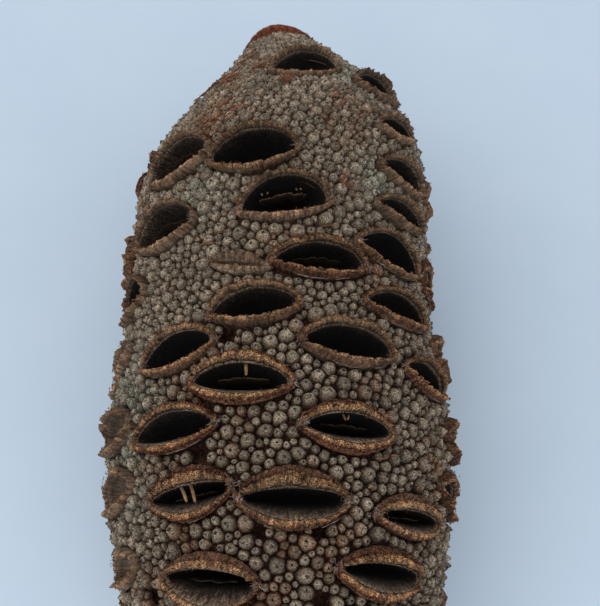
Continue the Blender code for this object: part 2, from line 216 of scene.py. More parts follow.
class Follicle:
    def __init__(self, azimuth, along, width, tilt, reaches, lift, character):
        layout = follicleLayout
        self.azimuth = math.radians(azimuth)
        self.along = along
        self.distance = distanceAt(along)
        self.radius = float(outlineAt(self.distance, "radius"))
        self.halfWidth = width * layout["footWidening"] / 2
        self.tilt = math.radians(tilt)
        self.tipFoot, self.tipMouth, self.baseMouth, self.baseFoot = reaches
        self.mouthMiddle = (self.tipMouth - self.baseMouth) / 2
        self.halfGape = (self.tipMouth + self.baseMouth) / 2
        self.isFilled = 2 * self.halfGape <= layout["leastOpenGape"]
        self.lift = lift
        self.pinches = [character.uniform(*limits) for limits in layout["pinches"]]
        self.mouthPinches = [character.uniform(*limits) for limits in layout["mouthPinches"]]
        self.skew = character.uniform(-layout["skew"], layout["skew"])
        self.tone = character.random()
        self.felted = layout["freshFelt"] * character.random() ** 2
        self.lipLifts = 1.0, 1.0
        self.paleWall = layout["otherWalls"][1]

    def spot(self, across, up):
        roundWay = across * math.cos(self.tilt) - up * math.sin(self.tilt)
        tipWay = across * math.sin(self.tilt) + up * math.cos(self.tilt)
        return self.azimuth + roundWay / self.radius, self.distance - tipWay

    def ownFrame(self, azimuth, distance):
        roundWay = shortTurn(azimuth - self.azimuth) * self.radius
        tipWay = self.distance - distance
        across = roundWay * math.cos(self.tilt) + tipWay * math.sin(self.tilt)
        return across, tipWay * math.cos(self.tilt) - roundWay * math.sin(self.tilt)

    def outlineOf(self, turns, reaches, pinches):
        # an eye shape: share of the half width, reach, and how much of the tip's side it is
        side = np.cos(turns)
        tipSide = tipSideOf(turns)
        pinch = np.where(side > 0, pinches[1], pinches[0])
        reach = reaches[0] * tipSide + reaches[1] * (1 - tipSide)
        return side, reach * np.sin(turns) * (1 - pinch * side ** 2), tipSide

    def edge(self, turns, grow=0.0):
        reaches = self.tipFoot + grow, self.baseFoot + grow
        side, rise, _ = self.outlineOf(turns, reaches, self.pinches)
        return side * (self.halfWidth + grow), rise

    def mouth(self, turns, width):
        side, rise, tipSide = self.outlineOf(turns, (self.tipMouth, self.baseMouth), self.mouthPinches)
        across = side * self.halfWidth * width
        return across, rise + self.skew * across, tipSide

    def lipHeight(self, turn, share):
        # how high the lip stands in one direction, from the mouth's edge at 0 to the foot at 1
        tipLift, baseLift = self.lipLifts
        tipSide = float(tipSideOf(turn))
        corner = 1 - follicleLayout["lipCorner"] * math.cos(turn) ** 6
        rise = float(np.interp(share, *follicleLayout["lipRise"]))
        return rise * corner * self.lift * (tipLift * tipSide + baseLift * (1 - tipSide))

    def covers(self, azimuth, distance, margin):
        across, up = self.ownFrame(azimuth, distance)
        place = np.minimum(np.abs(across) / (self.halfWidth + margin), 1.0)
        pinch = np.where(across > 0, self.pinches[1], self.pinches[0])
        reach = np.where(up > 0, self.tipFoot, self.baseFoot)
        limit = reach * (1 - pinch * place ** 2) * np.sqrt(1 - place ** 2)
        return (np.abs(up) < limit + margin) & (place < 1)


def placeFollicles(layout):
    rng = random.Random(layout["seed"])
    character = random.Random(layout["characterSeed"])
    found = []
    for place, (azimuth, along, width, tilt, *reaches) in enumerate(layout["inView"]):
        lift = layout["lift"] + layout["liftVariation"] * rng.uniform(-1, 1)
        one = Follicle(azimuth, along, width, tilt, reaches, lift, character)
        worn = layout["wornFelt"] if place < layout["wornRows"] else one.felted
        one.felted = layout["felted"].get(place, worn)
        one.lipLifts = layout["lipLifts"].get(place, one.lipLifts)
        one.isFilled = one.isFilled or place in layout["clogged"]
        one.paleWall = layout["paleWalls"].get(place, layout["otherWalls"][0])
        found.append(one)
    trials = []
    for _ in range(layout["trials"]):
        along = rng.uniform(layout["from"], layout["to"])
        trials.append((along, rng.uniform(-180, 180)))
    for along, azimuth in sorted(trials):
        radius = float(outlineAt(distanceAt(along), "radius"))
        clear = abs(azimuth) > layout["fullView"]
        for other in found:
            turn = shortTurn(math.radians(azimuth) - other.azimuth)
            sideways = turn * radius / layout["spacingRound"]
            clear = clear and math.hypot(sideways, (along - other.along) / layout["spacingAlong"]) >= 1
        if clear:
            width, tilt, height, gape = (
                rng.uniform(*layout[key]) for key in ("widths", "tilts", "heights", "gapes")
            )
            lift = layout["lift"] + layout["liftVariation"] * rng.uniform(-1, 1)
            tipShare = layout["tipSideShare"]
            reaches = height * tipShare, gape * tipShare, gape * (1 - tipShare), height * (1 - tipShare)
            found.append(Follicle(azimuth, along, width, tilt, reaches, lift, character))
    return found


follicles = placeFollicles(follicleLayout)
inView = len(follicleLayout["inView"])
print("placed", len(follicles), "follicles")


# Small helpers for meshes.
def newMesh(name, points, faces, material, values=None, smooth=True, inBox=True):
    mesh = bpy.data.meshes.new(name)
    points = np.asarray(points).reshape(-1, 3)
    if inBox:
        points = np.clip(points, *np.array(cadBox))  # nothing stands out further than the solid does
    mesh.from_pydata(points.tolist(), [], faces)
    for key, numbers in (values or {}).items():
        numbers = np.asarray(numbers, dtype=np.float32)
        kind, field = ("FLOAT_VECTOR", "vector") if numbers.ndim == 2 else ("FLOAT", "value")
        mesh.attributes.new(key, kind, "POINT").data.foreach_set(field, numbers.ravel())
    mesh.polygons.foreach_set("use_smooth", [smooth] * len(mesh.polygons))
    mesh.materials.append(material)
    mesh.update()
    piece = bpy.data.objects.new(name, mesh)
    bpy.context.scene.collection.objects.link(piece)
    return piece


def gridFaces(rows, columns, start=0, closed=True):
    # quads between rows of points, each row going round once when closed
    r, c = np.meshgrid(np.arange(rows - 1), np.arange(columns if closed else columns - 1), indexing="ij")
    after = (c + 1) % columns
    near, far = r * columns, (r + 1) * columns
    return np.stack([near + c, near + after, far + after, far + c], -1).reshape(-1, 4) + start


def joined(parts):
    points, faces, values = [], [], {}
    start = 0
    for somePoints, someFaces, someValues in parts:
        points.append(somePoints)
        faces += [[k + start for k in face] for face in someFaces]
        for key, numbers in someValues.items():
            values.setdefault(key, []).append(numbers)
        start += len(somePoints)
    return np.vstack(points), faces, {key: np.concatenate(rows) for key, rows in values.items()}


def ripple(turns, waves, rng):
    total = sum(math.sqrt(4 / wave) * np.sin(wave * turns + rng.uniform(0, fullTurn)) for wave in waves)
    return total / math.sqrt(len(waves))


def strand(path, thickness, sides=3, pointed=1.0):
    # a slim closed strand along the path, pointed or blunt at its far end
    path = np.asarray(path)
    count = len(path)
    along = np.gradient(path, axis=0)
    along /= np.maximum(np.linalg.norm(along, axis=1), 1e-9)[:, None]
    guide = np.array((0.31, 0.22, 0.93)) if abs(along[0][2]) < 0.8 else np.array((0.93, 0.31, 0.22))
    first = np.cross(along, guide)
    first /= np.linalg.norm(first, axis=1)[:, None]
    second = np.cross(along, first)
    angles = np.arange(sides) * fullTurn / sides
    taper = thickness * (1 - pointed * (np.arange(count) / count) ** 2)[:, None, None]
    rings = path[:, None] + taper * (
        first[:, None] * np.cos(angles)[None, :, None] + second[:, None] * np.sin(angles)[None, :, None]
    )
    points = np.vstack([rings.reshape(-1, 3), path[-1] + along[-1] * thickness])
    last = (count - 1) * sides
    faces = gridFaces(count, sides).tolist()
    faces += [[last + k, last + (k + 1) % sides, count * sides] for k in range(sides)]
    faces.append(list(range(sides))[::-1])
    points[:, 2] = np.maximum(points[:, 2], 0.0)
    return points, faces, {}


# Colours and materials.
def linear(code):
    channels = [int(code[k : k + 2], 16) / 255 for k in (1, 3, 5)]
    return tuple(c / 12.92 if c <= 0.04045 else ((c + 0.055) / 1.055) ** 2.4 for c in channels) + (1.0,)


def perSize(size):
    return 1 / size  # noise cells for each metre, for a pattern of this real size


def newMaterial(name, roughness, ior, **sockets):
    material = bpy.data.materials.new(name)
    material.use_nodes = True
    shader = material.node_tree.nodes["Principled BSDF"]
    shader.inputs["Roughness"].default_value = roughness
    shader.inputs["IOR"].default_value = ior
    for key, value in sockets.items():
        shader.inputs[key].default_value = value
    return material, material.node_tree, shader


def addNode(tree, kind, settings=None, links=None):
    node = tree.nodes.new("ShaderNode" + kind)
    for key, value in (settings or {}).items():
        if key == "stops":
            ramp = node.color_ramp.elements
            while len(ramp) < len(value):
                ramp.new(0.5)
            for stop, (position, code) in zip(ramp, value):
                stop.position = position
                stop.color = linear(code)
        elif isinstance(key, str) and hasattr(node, key):
            setattr(node, key, value)
        else:
            node.inputs[key].default_value = value
    for key, socket in (links or {}).items():
        tree.links.new(socket, node.inputs[key])
    return node


def objectSpace(tree):
    return addNode(tree, "TexCoord").outputs["Object"]


def attributes(tree, *names):
    return (addNode(tree, "Attribute", {"attribute_name": name}).outputs["Fac"] for name in names)


def noise(tree, size, detail, roughness, place):
    settings = {"Scale": perSize(size), "Detail": detail, "Roughness": roughness}
    return addNode(tree, "TexNoise", settings, {"Vector": place}).outputs["Fac"]


def remap(tree, value, low, high, least, most):
    settings = {"From Min": low, "From Max": high, "To Min": least, "To Max": most}
    return addNode(tree, "MapRange", settings, {"Value": value}).outputs["Result"]


def combined(tree, operation, first, second):
    return addNode(tree, "Math", {"operation": operation}, {0: first, 1: second}).outputs[0]


def ramp(tree, stops, value):
    return addNode(tree, "ValToRGB", {"stops": stops}, {"Fac": value}).outputs["Color"]


def blend(tree, share, first, second):
    return addNode(tree, "Mix", {"data_type": "RGBA"}, {0: share, 6: first, 7: second}).outputs[2]


def tinted(tree, share, colour, code):
    settings = {"data_type": "RGBA", 7: linear(code)}
    return addNode(tree, "Mix", settings, {0: share, 6: colour}).outputs[2]


def scaled(tree, colour, level):
    return addNode(tree, "VectorMath", {"operation": "SCALE"}, {0: colour, "Scale": level}).outputs[0]


def giveSurface(tree, shader, colour, height, strength, distance):
    bump = addNode(tree, "Bump", {"Strength": strength, "Distance": distance}, {"Height": height})
    tree.links.new(colour, shader.inputs["Base Color"])
    tree.links.new(bump.outputs["Normal"], shader.inputs["Normal"])


# The knobs and the bark are wood that years of sun and rain have greyed. It is dull and silver-grey on top,
# flecked with dark pores and dirt, and brown is left on the sheltered flanks. Painted shade darkens the
# colours to near black at the rim of each knob, where it meets its neighbours, and on the bark between the
# knobs.
knobLook = {
    # painted shade: in both ramps the stops from 0.84 to the rim darken towards black
    "tops": [  # from the middle of a knob to its rim
        (0.00, "#3d3129"), (0.07, "#5c4d40"), (0.15, "#a99986"), (0.40, "#a0907d"),
        (0.64, "#8b7966"), (0.84, "#5f4e3f"), (1.00, "#2c1f17"),
    ],
    "brownTops": [
        (0.00, "#3d2b21"), (0.10, "#77634f"), (0.30, "#95806b"), (0.58, "#8c6a51"),
        (0.84, "#704832"), (1.00, "#28140c"),
    ],
    "lichen": "#98a08f",
    "roughness": 0.9,
    "gloss": 0.18,
    "speckSize": 0.30 * mm,  # real pores are finer, and would not show
    "crustSize": 0.75 * mm,
    "raggedEdge": 0.2,  # how far the crust shifts the colours to and fro between the middle and the rim
    "tones": (0.58, 1.15),  # the darkest and the brightest knob
    "flecks": (0.35, 1.65),
    "blotches": (0.58, 1.36),
    "relief": 0.45 * mm,
}


def weatheredWood(look):
    material, tree, shader = newMaterial(
        "weathered grey wood", look["roughness"], 1.5, **{"Specular IOR Level": look["gloss"]})
    place = objectSpace(tree)
    reach, tone, rust, lichen = attributes(tree, "reach", "tone", "rust", "lichen")
    specks = noise(tree, look["speckSize"], 2.0, 0.6, place)
    crust = noise(tree, look["crustSize"], 4.0, 0.65, place)
    ragged = remap(tree, crust, 0.3, 0.7, -look["raggedEdge"], look["raggedEdge"])
    shifted = combined(tree, "ADD", reach, ragged)
    brownish = remap(tree, rust, 0.3, 0.9, 0, 1)
    wood = blend(tree, brownish, ramp(tree, look["tops"], shifted), ramp(tree, look["brownTops"], shifted))
    mossy = tinted(tree, combined(tree, "MULTIPLY", lichen, crust), wood, look["lichen"])
    fleck = remap(tree, specks, 0.38, 0.62, *look["flecks"])
    blotch = remap(tree, crust, 0.36, 0.64, *look["blotches"])
    mottled = combined(tree, "MULTIPLY", blotch, fleck)
    level = combined(tree, "MULTIPLY", remap(tree, tone, 0, 1, *look["tones"]), mottled)
    rough = combined(tree, "ADD", specks, crust)
    giveSurface(tree, shader, scaled(tree, mossy, level), rough, 1.0, look["relief"])
    return material


# The valves of the follicles are thick fibrous husk, split open by heat. They are dark and crumbly outside,
# ochre and granular with dark pits on the split face and pale at the mouth's edge. Painted shade makes the
# hollow black and darkens the foot under the lip, the groove on the lip and the step inside the mouth's
# edge.
valveLook = {
    # painted shade: in both ramps the near-black stops at the foot (0.00), the groove (0.315) and the step
    # (0.65), and the stops from 0.82 on, which darken into the hollow
    "grains": [  # from the foot over the lip and down into the hollow
        (0.00, "#2a1a12"), (0.08, "#4b3024"), (0.16, "#7a4f39"), (0.27, "#7d523a"), (0.315, "#4a2c1e"),
        (0.35, "#986743"), (0.42, "#c79669"), (0.50, "#c0936b"), (0.57, "#a6805e"), (0.61, "#6b4a36"),
        (0.65, "#17100b"), (0.69, "#9a866e"), (0.725, "#94806a"), (0.77, "#6b5848"), (0.82, "#413429"),
        (0.88, "#181310"), (1.00, "#050404"),
    ],
    "between": [  # the dark between the grains
        (0.00, "#0b0604"), (0.08, "#130b08"), (0.16, "#1e110c"), (0.27, "#1e110c"), (0.315, "#0f0806"),
        (0.35, "#23150c"), (0.42, "#3c2819"), (0.50, "#3a281b"), (0.57, "#33251b"), (0.61, "#170f0a"),
        (0.65, "#090605"), (0.69, "#54473a"), (0.725, "#4a3d31"), (0.77, "#392d24"), (0.82, "#231b16"),
        (0.88, "#0e0b09"), (1.00, "#030303"),
    ],
    "felt": "#87735f",  # where the weather has greyed it
    "roughness": 0.88,
    "gloss": 0.2,
    "grainSize": 0.26 * mm,  # real grains are half this, and would not show
    "crustSize": 1.1 * mm,
    "patchSize": 5 * mm,
    "crackSize": 0.55 * mm,
    "crackStretch": 0.22,  # fine cracks run across each lip, from the mouth to the foot
    "raggedEdge": 0.05,
    "patches": (0.66, 1.30),
    "cracks": (0.52, 1.62),
    "relief": 0.45 * mm,
}


def splitHusk(look):
    material, tree, shader = newMaterial(
        "split fibrous husk", look["roughness"], 1.5, **{"Specular IOR Level": look["gloss"]})
    place = objectSpace(tree)
    band, shade, felted = attributes(tree, "band", "shade", "felted")
    lane = addNode(tree, "Attribute", {"attribute_name": "strand"}).outputs["Vector"]
    stretch = look["crackStretch"]
    across = addNode(tree, "Mapping", {"Scale": (1.0, stretch, stretch)}, {"Vector": lane}).outputs["Vector"]
    grains = noise(tree, look["grainSize"], 2.0, 0.55, lane)
    crust = noise(tree, look["crustSize"], 5.0, 0.7, place)
    patches = noise(tree, look["patchSize"], 2.0, 0.5, place)
    cracks = noise(tree, look["crackSize"], 3.0, 0.6, across)
    ragged = remap(tree, crust, 0.25, 0.75, -look["raggedEdge"], look["raggedEdge"])
    shifted = combined(tree, "ADD", band, ragged)
    speckled = remap(tree, grains, 0.41, 0.60, 0, 1)
    husk = blend(tree, speckled, ramp(tree, look["between"], shifted), ramp(tree, look["grains"], shifted))
    greyer = tinted(tree, felted, husk, look["felt"])
    patchy = remap(tree, patches, 0.3, 0.7, *look["patches"])
    broken = combined(tree, "MULTIPLY", patchy, remap(tree, cracks, 0.38, 0.60, *look["cracks"]))
    # shade carries each follicle's tone with painted light and shade on its lips
    level = combined(tree, "MULTIPLY", broken, shade)
    deep = combined(tree, "ADD", combined(tree, "ADD", grains, crust), cracks)
    giveSurface(tree, shader, scaled(tree, greyer, level), deep, 1.0, look["relief"])
    return material


def patternedWood(name, stops, size, roughness, bumpDistance, fades=False):
    # plain dry plant matter whose colour wanders between a few browns
    material, tree, shader = newMaterial(name, roughness, 1.5, **{"Specular IOR Level": 0.2})
    pattern = noise(tree, size, 5.0, 0.65, objectSpace(tree))
    colour = ramp(tree, stops, pattern)
    if fades:  # painted light and shade: the colour is scaled by the mesh's daylight value, darker where it is sunk in a hollow
        colour = scaled(tree, colour, *attributes(tree, "daylight"))
    giveSurface(tree, shader, colour, pattern, 0.6, bumpDistance)
    return material


# separators are thin woody plates that dried in the follicle: smooth and brown, with painted light at the
# torn edge and painted shade deeper in the hollow
separatorWood = patternedWood(
    "separator wood", [(0.3, "#6d4f38"), (0.5, "#8f6f50"), (0.7, "#b3956f")], 1.2 * mm, 0.75, 0.1 * mm,
    fades=True)
# the husk's own dried hair, worn loose by the wind: matt, tan to orange-brown
dryHair = patternedWood(
    "dry plant hair", [(0.3, "#3b2417"), (0.5, "#70492e"), (0.7, "#97714d")], 4 * mm, 0.8, 0.05 * mm)
# strands of bark torn off in strips, which leaves a fresh orange-brown break
tornBark = patternedWood(
    "torn bark strands", [(0.3, "#482b1a"), (0.5, "#774e35"), (0.7, "#9d7658")], 3 * mm, 0.85, 0.08 * mm)
# plant wool bleached by the sun, in the corners of the mouths: dull and pale
paleWool = patternedWood(
    "bleached plant wool", [(0.3, "#5d4d42"), (0.5, "#88766a"), (0.7, "#b5a597")], 1.5 * mm, 0.9, 0.1 * mm)
# hair of the growing tip, matted by rain into a felt: rust-brown, soft and without any gloss
rustFelt = patternedWood(
    "rusty felt", [(0.3, "#3f190d"), (0.5, "#70371f"), (0.7, "#a06443")], 1.1 * mm, 0.95, 0.3 * mm)
# end grain of the stalk, cut with shears: matt brown with darker checks
cutWood = patternedWood(
    "cut stalk wood", [(0.3, "#4a3322"), (0.5, "#7c5c3e"), (0.7, "#9a7a56")], 1.6 * mm, 0.85, 0.2 * mm)
knobWood = weatheredWood(knobLook)
huskWood = splitHusk(valveLook)
print("made the materials")


# The follicles: one loft each, from the foot over the lips and down into the hollow.
valveShape = {
    "upper": [  # share between the mouth's edge and the outline, height in mm, colour band
        (0.950, -1.20, 0.00), (0.980, 0.10, 0.05), (1.000, 0.70, 0.09), (0.990, 1.10, 0.12),
        (0.960, 1.50, 0.15), (0.910, 1.90, 0.18), (0.850, 2.25, 0.21), (0.790, 2.55, 0.24),
        (0.730, 2.75, 0.27), (0.670, 2.85, 0.30), (0.620, 2.80, 0.33), (0.560, 3.00, 0.37),
        (0.490, 3.10, 0.40), (0.420, 3.15, 0.43), (0.350, 3.15, 0.46), (0.280, 3.10, 0.49),
        (0.210, 3.00, 0.52), (0.150, 2.85, 0.56), (0.105, 2.20, 0.61), (0.070, 1.65, 0.67),
        (0.035, 1.65, 0.71), (0.000, 1.30, 0.76),
    ],
    "lower": [
        (0.920, -1.20, 0.00), (0.920, 0.20, 0.04), (0.950, 0.80, 0.07), (0.990, 1.30, 0.10),
        (1.000, 1.80, 0.13), (0.980, 2.20, 0.16), (0.930, 2.50, 0.19), (0.860, 2.75, 0.22),
        (0.790, 2.95, 0.25), (0.710, 3.10, 0.29), (0.620, 3.20, 0.33), (0.530, 3.20, 0.38),
        (0.450, 3.10, 0.43), (0.370, 3.00, 0.48), (0.300, 2.85, 0.53), (0.240, 2.65, 0.57),
        (0.190, 2.50, 0.61), (0.150, 2.35, 0.65), (0.120, 2.20, 0.68), (0.090, 2.05, 0.71),
        (0.050, 1.80, 0.74), (0.000, 1.50, 0.76),
    ],
    # the hollow's colour bands run into the near-black end of the husk's colours, which is painted shade
    "hollow": [  # shares of the mouth on either side, height in mm, colour bands on either side
        (0.99, 0.86, 0.8, 0.89, 0.79), (0.99, 0.69, -0.1, 0.91, 0.82), (0.97, 0.52, -1.2, 0.93, 0.86),
        (0.90, 0.38, -2.8, 0.95, 0.90), (0.76, 0.27, -4.6, 0.97, 0.94), (0.50, 0.18, -6.4, 0.99, 0.98),
    ],
    "bottom": -7.2,  # height in mm
    "mouthWidth": (0.83, 0.90),
    "cornerDrop": 0.42,  # how much lower the lips are at the corners
    "liftShare": 0.94,  # of the solid's height, which leaves room for the waves
    "segments": (124, 46),  # of the follicles in view and of the others
    "longWaves": ((2, 3, 5, 7), 0.070, 0.20),  # waves round a lip, their sway as a share, height in mm
    "shortWaves": ((9, 13, 17, 26), 0.055, 0.25),
    "frayedRows": 3,
    "frayedWaves": ((23, 31, 41), 0.14, 0.08),  # of the mouth's edge, their height and the short ones' there
    "crumbs": (0.028, 0.20 * mm),  # sideways, as a share, and in height
    "nicks": 9,
    "nickTurn": 0.045,
    "nickDepth": (0.3, 1.1),  # in mm
    "rawFrom": math.radians(60),  # further round than this the lips stand out as torn flaps
    "rawMore": 2.4,
    "seed": 31,
    "filledDepth": 0.25,  # of the usual, where a follicle is closed or clogged
    # a closed or clogged follicle is kept out of the hollow's painted shade
    "filledBand": 0.83,
    "paleWallBand": 0.12,  # how far a brown wall is moved up the colour bands
    "narrowLip": (1.8 * mm, 4.0 * mm),  # a narrow lip shows its split face nearly down to the foot
    "freshFace": 0.60,
    "faceBand": 0.42,  # the band of the split face
    "thinLip": (1.0 * mm, 2.2 * mm),  # painted shade: a lip this thin is darker than one this broad, as its steep inner face is in shade
    "thinShade": 0.70,
    "lowerLipPaintedLight": 1.32,  # painted light: the lips away from the tip are painted brighter
    "tones": (0.84, 0.32),  # the darkest follicle, and how much brighter the brightest is
    "feltBand": 0.66,  # the weather doesn't reach further into an open mouth
}


def lipRows(follicle, shape, turns, tipSide, rng):
    # share of the way from the mouth's edge to the foot, height and colour band, from the foot up
    above, below = (np.array(shape[key])[:, :, None] for key in ("upper", "lower"))
    share, height, band = (above[:, k] * tipSide + below[:, k] * (1 - tipSide) for k in range(3))
    rows = len(above)
    tipLift, baseLift = follicle.lipLifts
    corner = 1 - shape["cornerDrop"] * np.cos(turns) ** 6
    corner = corner * (tipLift * tipSide + baseLift * (1 - tipSide))
    scale = mm * shape["liftShare"] * follicle.lift / follicleLayout["lift"]
    torn = shape["rawMore"] if abs(follicle.azimuth) > shape["rawFrom"] else 1.0
    longWaves, longSway, longRise = shape["longWaves"]
    shortWaves, shortSway, shortRise = shape["shortWaves"]
    frayedWaves, frayedRise, edgeRise = shape["frayedWaves"]
    long = ripple(turns, longWaves, rng) * torn
    short = ripple(turns, shortWaves, rng)
    frayed = ripple(turns, frayedWaves, rng)
    nicks = 0.0
    for _ in range(shape["nicks"]):
        away = shortTurn(turns - rng.uniform(0, fullTurn)) / shape["nickTurn"]
        nicks = nicks + torn * rng.uniform(*shape["nickDepth"]) * np.exp(-away ** 2)
    lip = np.sin(np.linspace(0, math.pi, rows))[:, None]  # full on the lip, nothing at either edge
    share = share + lip * (longSway * long + shortSway * short)
    height = height * scale * corner + mm * lip * (longRise * long + shortRise * short - nicks)
    crumbs = np.random.default_rng(rng.randrange(10 ** 6))
    husk = (band > 0.05) & (band < 0.62)
    crumbSway, crumbRise = shape["crumbs"]
    height += husk * crumbs.normal(0, crumbRise, height.shape)
    share += husk * crumbs.normal(0, crumbSway, height.shape)
    height[rows - shape["frayedRows"] :] += mm * (frayedRise * frayed + edgeRise * short)
    return share, height, band


def freshened(band, follicle, shape, tipSide):
    widths = follicle.tipFoot - follicle.tipMouth, follicle.baseFoot - follicle.baseMouth
    tipFresh, baseFresh = np.interp(widths, shape["narrowLip"], (shape["freshFace"], 0.0))
    fresh = baseFresh + (tipFresh - baseFresh) * tipSide
    face = shape["faceBand"]
    return np.where((band > 0.09) & (band < face), band + (face - band) * fresh, band)


def shadeOf(follicle, shape, tipSide):
    # each follicle's random tone, times painted shade on thin lips on the tip's side and painted light on
    # the lips away from the tip
    width = follicle.tipFoot - follicle.tipMouth
    thinShade = np.interp(width, shape["thinLip"], (shape["thinShade"], 1.0))
    darkest, brighter = shape["tones"]
    lipShade = shape["lowerLipPaintedLight"] + (thinShade - shape["lowerLipPaintedLight"]) * tipSide
    return (darkest + brighter * follicle.tone) * lipShade


def follicleLoft(follicle, shape, segments, rng):
    turns = np.linspace(0, fullTurn, segments, endpoint=False)
    outerX, outerY = follicle.edge(turns)
    mouthX, mouthY, tipSide = follicle.mouth(turns, rng.uniform(*shape["mouthWidth"]))
    share, height, band = lipRows(follicle, shape, turns, tipSide, rng)
    across = mouthX + (outerX - mouthX) * share
    up = mouthY + (outerY - mouthY) * share
    band = freshened(band, follicle, shape, tipSide)
    depth = shape["filledDepth"] if follicle.isFilled else 1.0
    for high, low, level, highBand, lowBand in shape["hollow"]:
        across = np.vstack([across, mouthX * (0.25 + 0.75 * high)])
        up = np.vstack([up, mouthY * (high * tipSide + low * (1 - tipSide))])
        height = np.vstack([height, np.full_like(turns, level * mm * depth)])
        highBand -= shape["paleWallBand"] * follicle.paleWall
        band = np.vstack([band, highBand * tipSide + lowBand * (1 - tipSide)])
    if follicle.isFilled:
        band = np.minimum(band, shape["filledBand"])
    points = onCone(*follicle.spot(across, up), height).reshape(-1, 3)
    bottom = onCone(*follicle.spot(0.0, 0.0), shape["bottom"] * mm * depth)
    faces = gridFaces(len(across), segments).tolist()
    last = len(points) - segments
    faces += [[last + k, last + (k + 1) % segments, len(points)] for k in range(segments)]
    around = np.cumsum(np.hypot(np.diff(outerX, prepend=outerX[-1]), np.diff(outerY, prepend=outerY[-1])))
    inward = np.hypot(across - mouthX, up - mouthY)
    lane = np.stack([np.broadcast_to(around, across.shape), inward, height + follicle.tone], axis=-1)
    shade = np.broadcast_to(shadeOf(follicle, shape, tipSide), across.shape)
    feltEnd = 1.0 if follicle.isFilled else shape["feltBand"]
    values = {
        "band": np.append(band.ravel(), band.max()),
        "shade": np.append(shade.ravel(), 1.0),
        "felted": np.append(np.where(band < feltEnd, follicle.felted, 0.0).ravel(), 0.0),
        "strand": np.vstack([lane.reshape(-1, 3), lane[-1, :1]]),
    }
    return np.vstack([points, bottom]), faces, values


def raiseValves(shape):
    rng = random.Random(shape["seed"])
    lofts = []
    for k, one in enumerate(follicles):
        lofts.append(follicleLoft(one, shape, shape["segments"][k >= inView], rng))
    groups = {
        "huskValvesUpper": range(0, inView // 2),
        "huskValvesLower": range(inView // 2, inView),
        "huskValvesBehind": range(inView, len(follicles)),
    }
    pieces = []
    for name, members in groups.items():
        points, faces, values = joined([lofts[k] for k in members])
        pieces.append(newMesh(name, points, faces, huskWood, values, smooth=False))
    return pieces


huskPieces = raiseValves(valveShape)
print("raised the follicle valves:", sum(len(piece.data.polygons) for piece in huskPieces), "faces")


# The wood under the knobs, netted round the feet of the follicles.
def net(azimuth, distance):
    # the cone unrolled round its tip, with its angles kept
    reach = np.exp(outlineAt(distance, "swell") - outline["swell"][-1])
    return reach * np.cos(azimuth), reach * np.sin(azimuth)


barkPlan = {
    "pitch": 2.0 * mm,
    "footPoints": 36,
    "footShares": (0.90, 0.86),  # the net starts a little inside the feet of the follicles
    "between": (0.045, 0.135),  # distances from the tip
    "depth": (-0.15 * mm, -0.55 * mm),  # deeper between the larger knobs near the base
    "plainEnd": 8 * mm,  # the stalk is not sunk
    # painted shade: the bark takes the near-black rim end of the knobs' colours
    "reach": (0.84, 1.0),
    "tone": 0.45,
    "rust": (0.5, 0.95),
    "holes": [  # azimuth, distance from the base end, radius: where a knob has fallen out
        (-24, 0.0381, 0.0021), (-16, 0.0627, 0.0022), (-6, 0.0222, 0.0015), (13, 0.0224, 0.0015),
        (-50, 0.0123, 0.0018), (14, 0.0100, 0.0018),
        (-64, 0.0740, 0.0014), (130, 0.0500, 0.0018), (-150, 0.1050, 0.0018),
    ],
    "holeDepth": -2.6 * mm,
}


def footSpots(plan):
    spots = []
    edges = []
    for one in follicles:
        turns = np.linspace(0, fullTurn, plan["footPoints"], endpoint=False)
        across, up = one.edge(turns)
        azimuth, distance = one.spot(across * plan["footShares"][0], up * plan["footShares"][1])
        start = len(spots)
        spots += list(zip(azimuth, distance, [plan["depth"][1]] * len(turns)))
        edges += [(start + k, start + (k + 1) % len(turns)) for k in range(len(turns))]
    return spots, edges


def barkSpots(plan):
    spots = []
    rows = int(coneLength / plan["pitch"])
    for row in range(1, rows + 1):
        distance = row * coneLength / rows
        count = max(8, int(fullTurn * outlineAt(distance, "radius") / plan["pitch"]))
        azimuth = (np.arange(count) + 0.5 * (row % 2)) * fullTurn / count
        free = np.ones(count, bool)
        for one in follicles:
            free &= ~one.covers(azimuth, np.full(count, distance), 0.2 * mm)
        sunk = float(np.interp(distance, plan["between"], plan["depth"]))
        sunk = sunk if distance < coneLength - plan["plainEnd"] else 0.0
        spots += [(turn, distance, sunk) for turn in azimuth[free]]
    for turn, along, _ in plan["holes"]:
        spots.append((math.radians(turn) % fullTurn, distanceAt(along), 0.0))
    return spots


def barkSkin(plan, material):
    feet, edges = footSpots(plan)
    azimuth, distance, height = np.array(feet + barkSpots(plan)).T
    for turn, along, radius in plan["holes"]:
        place = distanceAt(along)
        sideways = shortTurn(azimuth - math.radians(turn)) * float(outlineAt(place, "radius"))
        height = np.where(np.hypot(sideways, distance - place) < radius, plan["holeDepth"], height)
    flat = [Vector(pair) for pair in zip(*net(azimuth, distance))] + [Vector((0, 0))]
    result = delaunay_2d_cdt(flat, edges, [], 0, 1e-12)
    source = [origin[0] for origin in result[3]]
    points = np.vstack([onCone(azimuth, distance, height), onCone(0.0, 0.0, plan["depth"][0])])
    faces = []
    for face in result[2]:
        corners = [source[k] for k in face]
        owners = {k // plan["footPoints"] for k in corners}
        if max(corners) >= len(feet) or len(owners) > 1:  # not one that covers a follicle
            faces.append(corners)
    distance = np.append(distance, 0.0)
    values = {
        "reach": np.interp(distance, plan["between"], plan["reach"]),
        "tone": np.full(len(distance), plan["tone"]),
        "rust": np.interp(distance, plan["between"], plan["rust"]),
    }
    return newMesh("barkSkin", points, faces, material, values)


bark = barkSkin(barkPlan, knobWood)
print("netted the bark:", len(bark.data.polygons), "faces")


